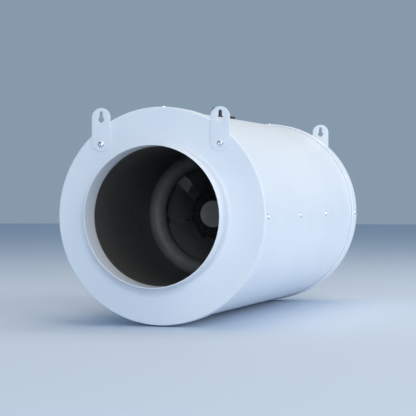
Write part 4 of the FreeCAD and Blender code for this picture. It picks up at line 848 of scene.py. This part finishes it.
def make_socket():
    """The low control socket: a rounded block with a metal ring round its jack."""
    low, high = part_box("control_socket")
    jack = mounts["control_jack"]
    centre_y = jack["pos_m"][1]
    jack_radius = jack["dims"]["r_mm"] * MM
    edge, corner, ring_wall, ring_sink = 0.7 * MM, 1.6 * MM, 1.1 * MM, 0.5 * MM
    outer_edge, inner_edge = 0.3 * MM, 0.4 * MM
    base = casing_radius + FIT
    half_width, half_length = high.x, (high.y - low.y) / 2
    outline = rounded([
        (-half_width, -half_length, corner), (half_width, -half_length, corner),
        (half_width, half_length, corner), (-half_width, half_length, corner)], 6)
    recess = jack_radius + ring_wall
    hole = [(recess * math.cos(-a), recess * math.sin(-a)) for a in full_turn(SMALL_ROUND)]
    height = high.z - base
    block = plate(outline, (hole,), height, edge)
    add_piece("socket_block", block, Matrix.Translation((0, centre_y, base + height / 2)), "casing",
              "gland_plastic", "control_socket")
    ring_top = high.z - ring_sink
    ring = rounded([
        (jack_radius, low.z, 0), (recess, low.z, 0), (recess, ring_top, outer_edge),
        (jack_radius, ring_top, inner_edge)])
    add_piece("socket_jack", turned(ring, full_turn(SMALL_ROUND)), Matrix.Translation((0, centre_y, 0)),
              "casing", "zinc_screw", "control_socket")


def finish_cad_nodes():
    """Every node that still shows its own mesh gets its slot's finish."""
    for subpart in record["subparts"]:
        data = frame["nodes"][subpart["node"]].data
        data.materials.clear()
        data.materials.append(NODE_LOOKS.get(subpart["node"], LOOKS[subpart["material_slot"]]))


# ---------------------------------------------------------------------------------------------
# Floor, light and camera
# ---------------------------------------------------------------------------------------------

def make_floor():
    """A large pale matt disc under the model's lowest point."""
    radius = 7.0
    look = plain("pale_floor", (0.60, 0.68, 0.80), 0.72, Specular_IOR_Level=0.15)
    roughen(look, noise(look, 60 * MM, 3), 0.68, 0.76)
    disc = bmesh.new()
    bmesh.ops.create_circle(disc, cap_ends=True, segments=128, radius=radius)
    disc.transform(Matrix.Translation((0, total_length / 2, cad_box[0][2])))
    data = bpy.data.meshes.new("floor")
    disc.to_mesh(data)
    disc.free()
    data.materials.append(look)
    floor = bpy.data.objects.new("floor", data)
    bpy.context.scene.collection.objects.link(floor)


def make_light(name, position, target, size, power, colour):
    """A square soft light that looks at a target."""
    lamp = bpy.data.lights.new(name, "AREA")
    lamp.size = size
    lamp.energy = power
    lamp.color = colour
    holder = bpy.data.objects.new(name, lamp)
    holder.location = position
    aim = Vector(target) - Vector(position)
    holder.rotation_euler = aim.to_track_quat("-Z", "Y").to_euler()
    bpy.context.scene.collection.objects.link(holder)


def make_lights():
    """Plain soft studio light: warm from above, cool from the right and in front, in a cool room."""
    centre = (0, total_length / 2, 0)
    make_light("key", (1.9, -1.3, 1.9), centre, 1.6, 17.4, (1.0, 0.83, 0.69))
    make_light("overhead", (0.2, 0.6, 2.4), centre, 2.2, 32, (1.0, 0.86, 0.66))
    make_light("side", (2.6, 1.3, 0.6), centre, 1.4, 32, (0.86, 0.94, 1.0))
    make_light("front", (1.15, -2.9, 0.66), centre, 1.0, 36, (0.83, 0.93, 1.0))
    world = bpy.data.worlds.new("studio")
    world.use_nodes = True
    room = world.node_tree.nodes["Background"]
    room.inputs["Color"].default_value = (0.59, 0.79, 1.0, 1)
    room.inputs["Strength"].default_value = 0.41
    bpy.context.scene.world = world


def make_camera():
    """The camera: in front of the inlet and to its right, a little above the duct axis."""
    azimuth, elevation, roll = math.radians(17.72), math.radians(0.56), math.radians(0.14)
    position = Vector((0.7173, -1.9850, 0.0326))
    sensor_width, focal_length = 36, 132.07             # millimetres
    back = Vector((math.sin(azimuth) * math.cos(elevation), -math.cos(azimuth) * math.cos(elevation),
                   math.sin(elevation)))
    level = Vector((math.cos(azimuth), math.sin(azimuth), 0))
    upright = level.cross(-back)
    right = math.cos(roll) * level + math.sin(roll) * upright
    up = -math.sin(roll) * level + math.cos(roll) * upright
    lens = bpy.data.cameras.new("view")
    lens.sensor_width = sensor_width
    lens.lens = focal_length
    camera = bpy.data.objects.new("view", lens)
    turn = Matrix((right, up, back)).transposed().to_4x4()
    camera.matrix_world = Matrix.Translation(position) @ turn
    bpy.context.scene.collection.objects.link(camera)
    bpy.context.scene.camera = camera


finish_cad_nodes()
make_casing()
for end, port, place in ENDS:
    make_cap(end, place)
    make_collar(port, place)
for end, _, _ in ENDS:
    for hand in ("left", "right"):
        pivot_height = joints[f"{end}_{hand}_swivel"]["pos_m"][2]
        make_bracket(f"bracket_{end}_{hand}", f"{end}_{hand}_bracket", pivot_height)
make_screws()
make_lining()
make_foam()
make_bell_mouth()
make_nose()
make_gland()
make_socket()
make_floor()
make_lights()
make_camera()
bpy.context.scene.view_settings.view_transform = "Standard"
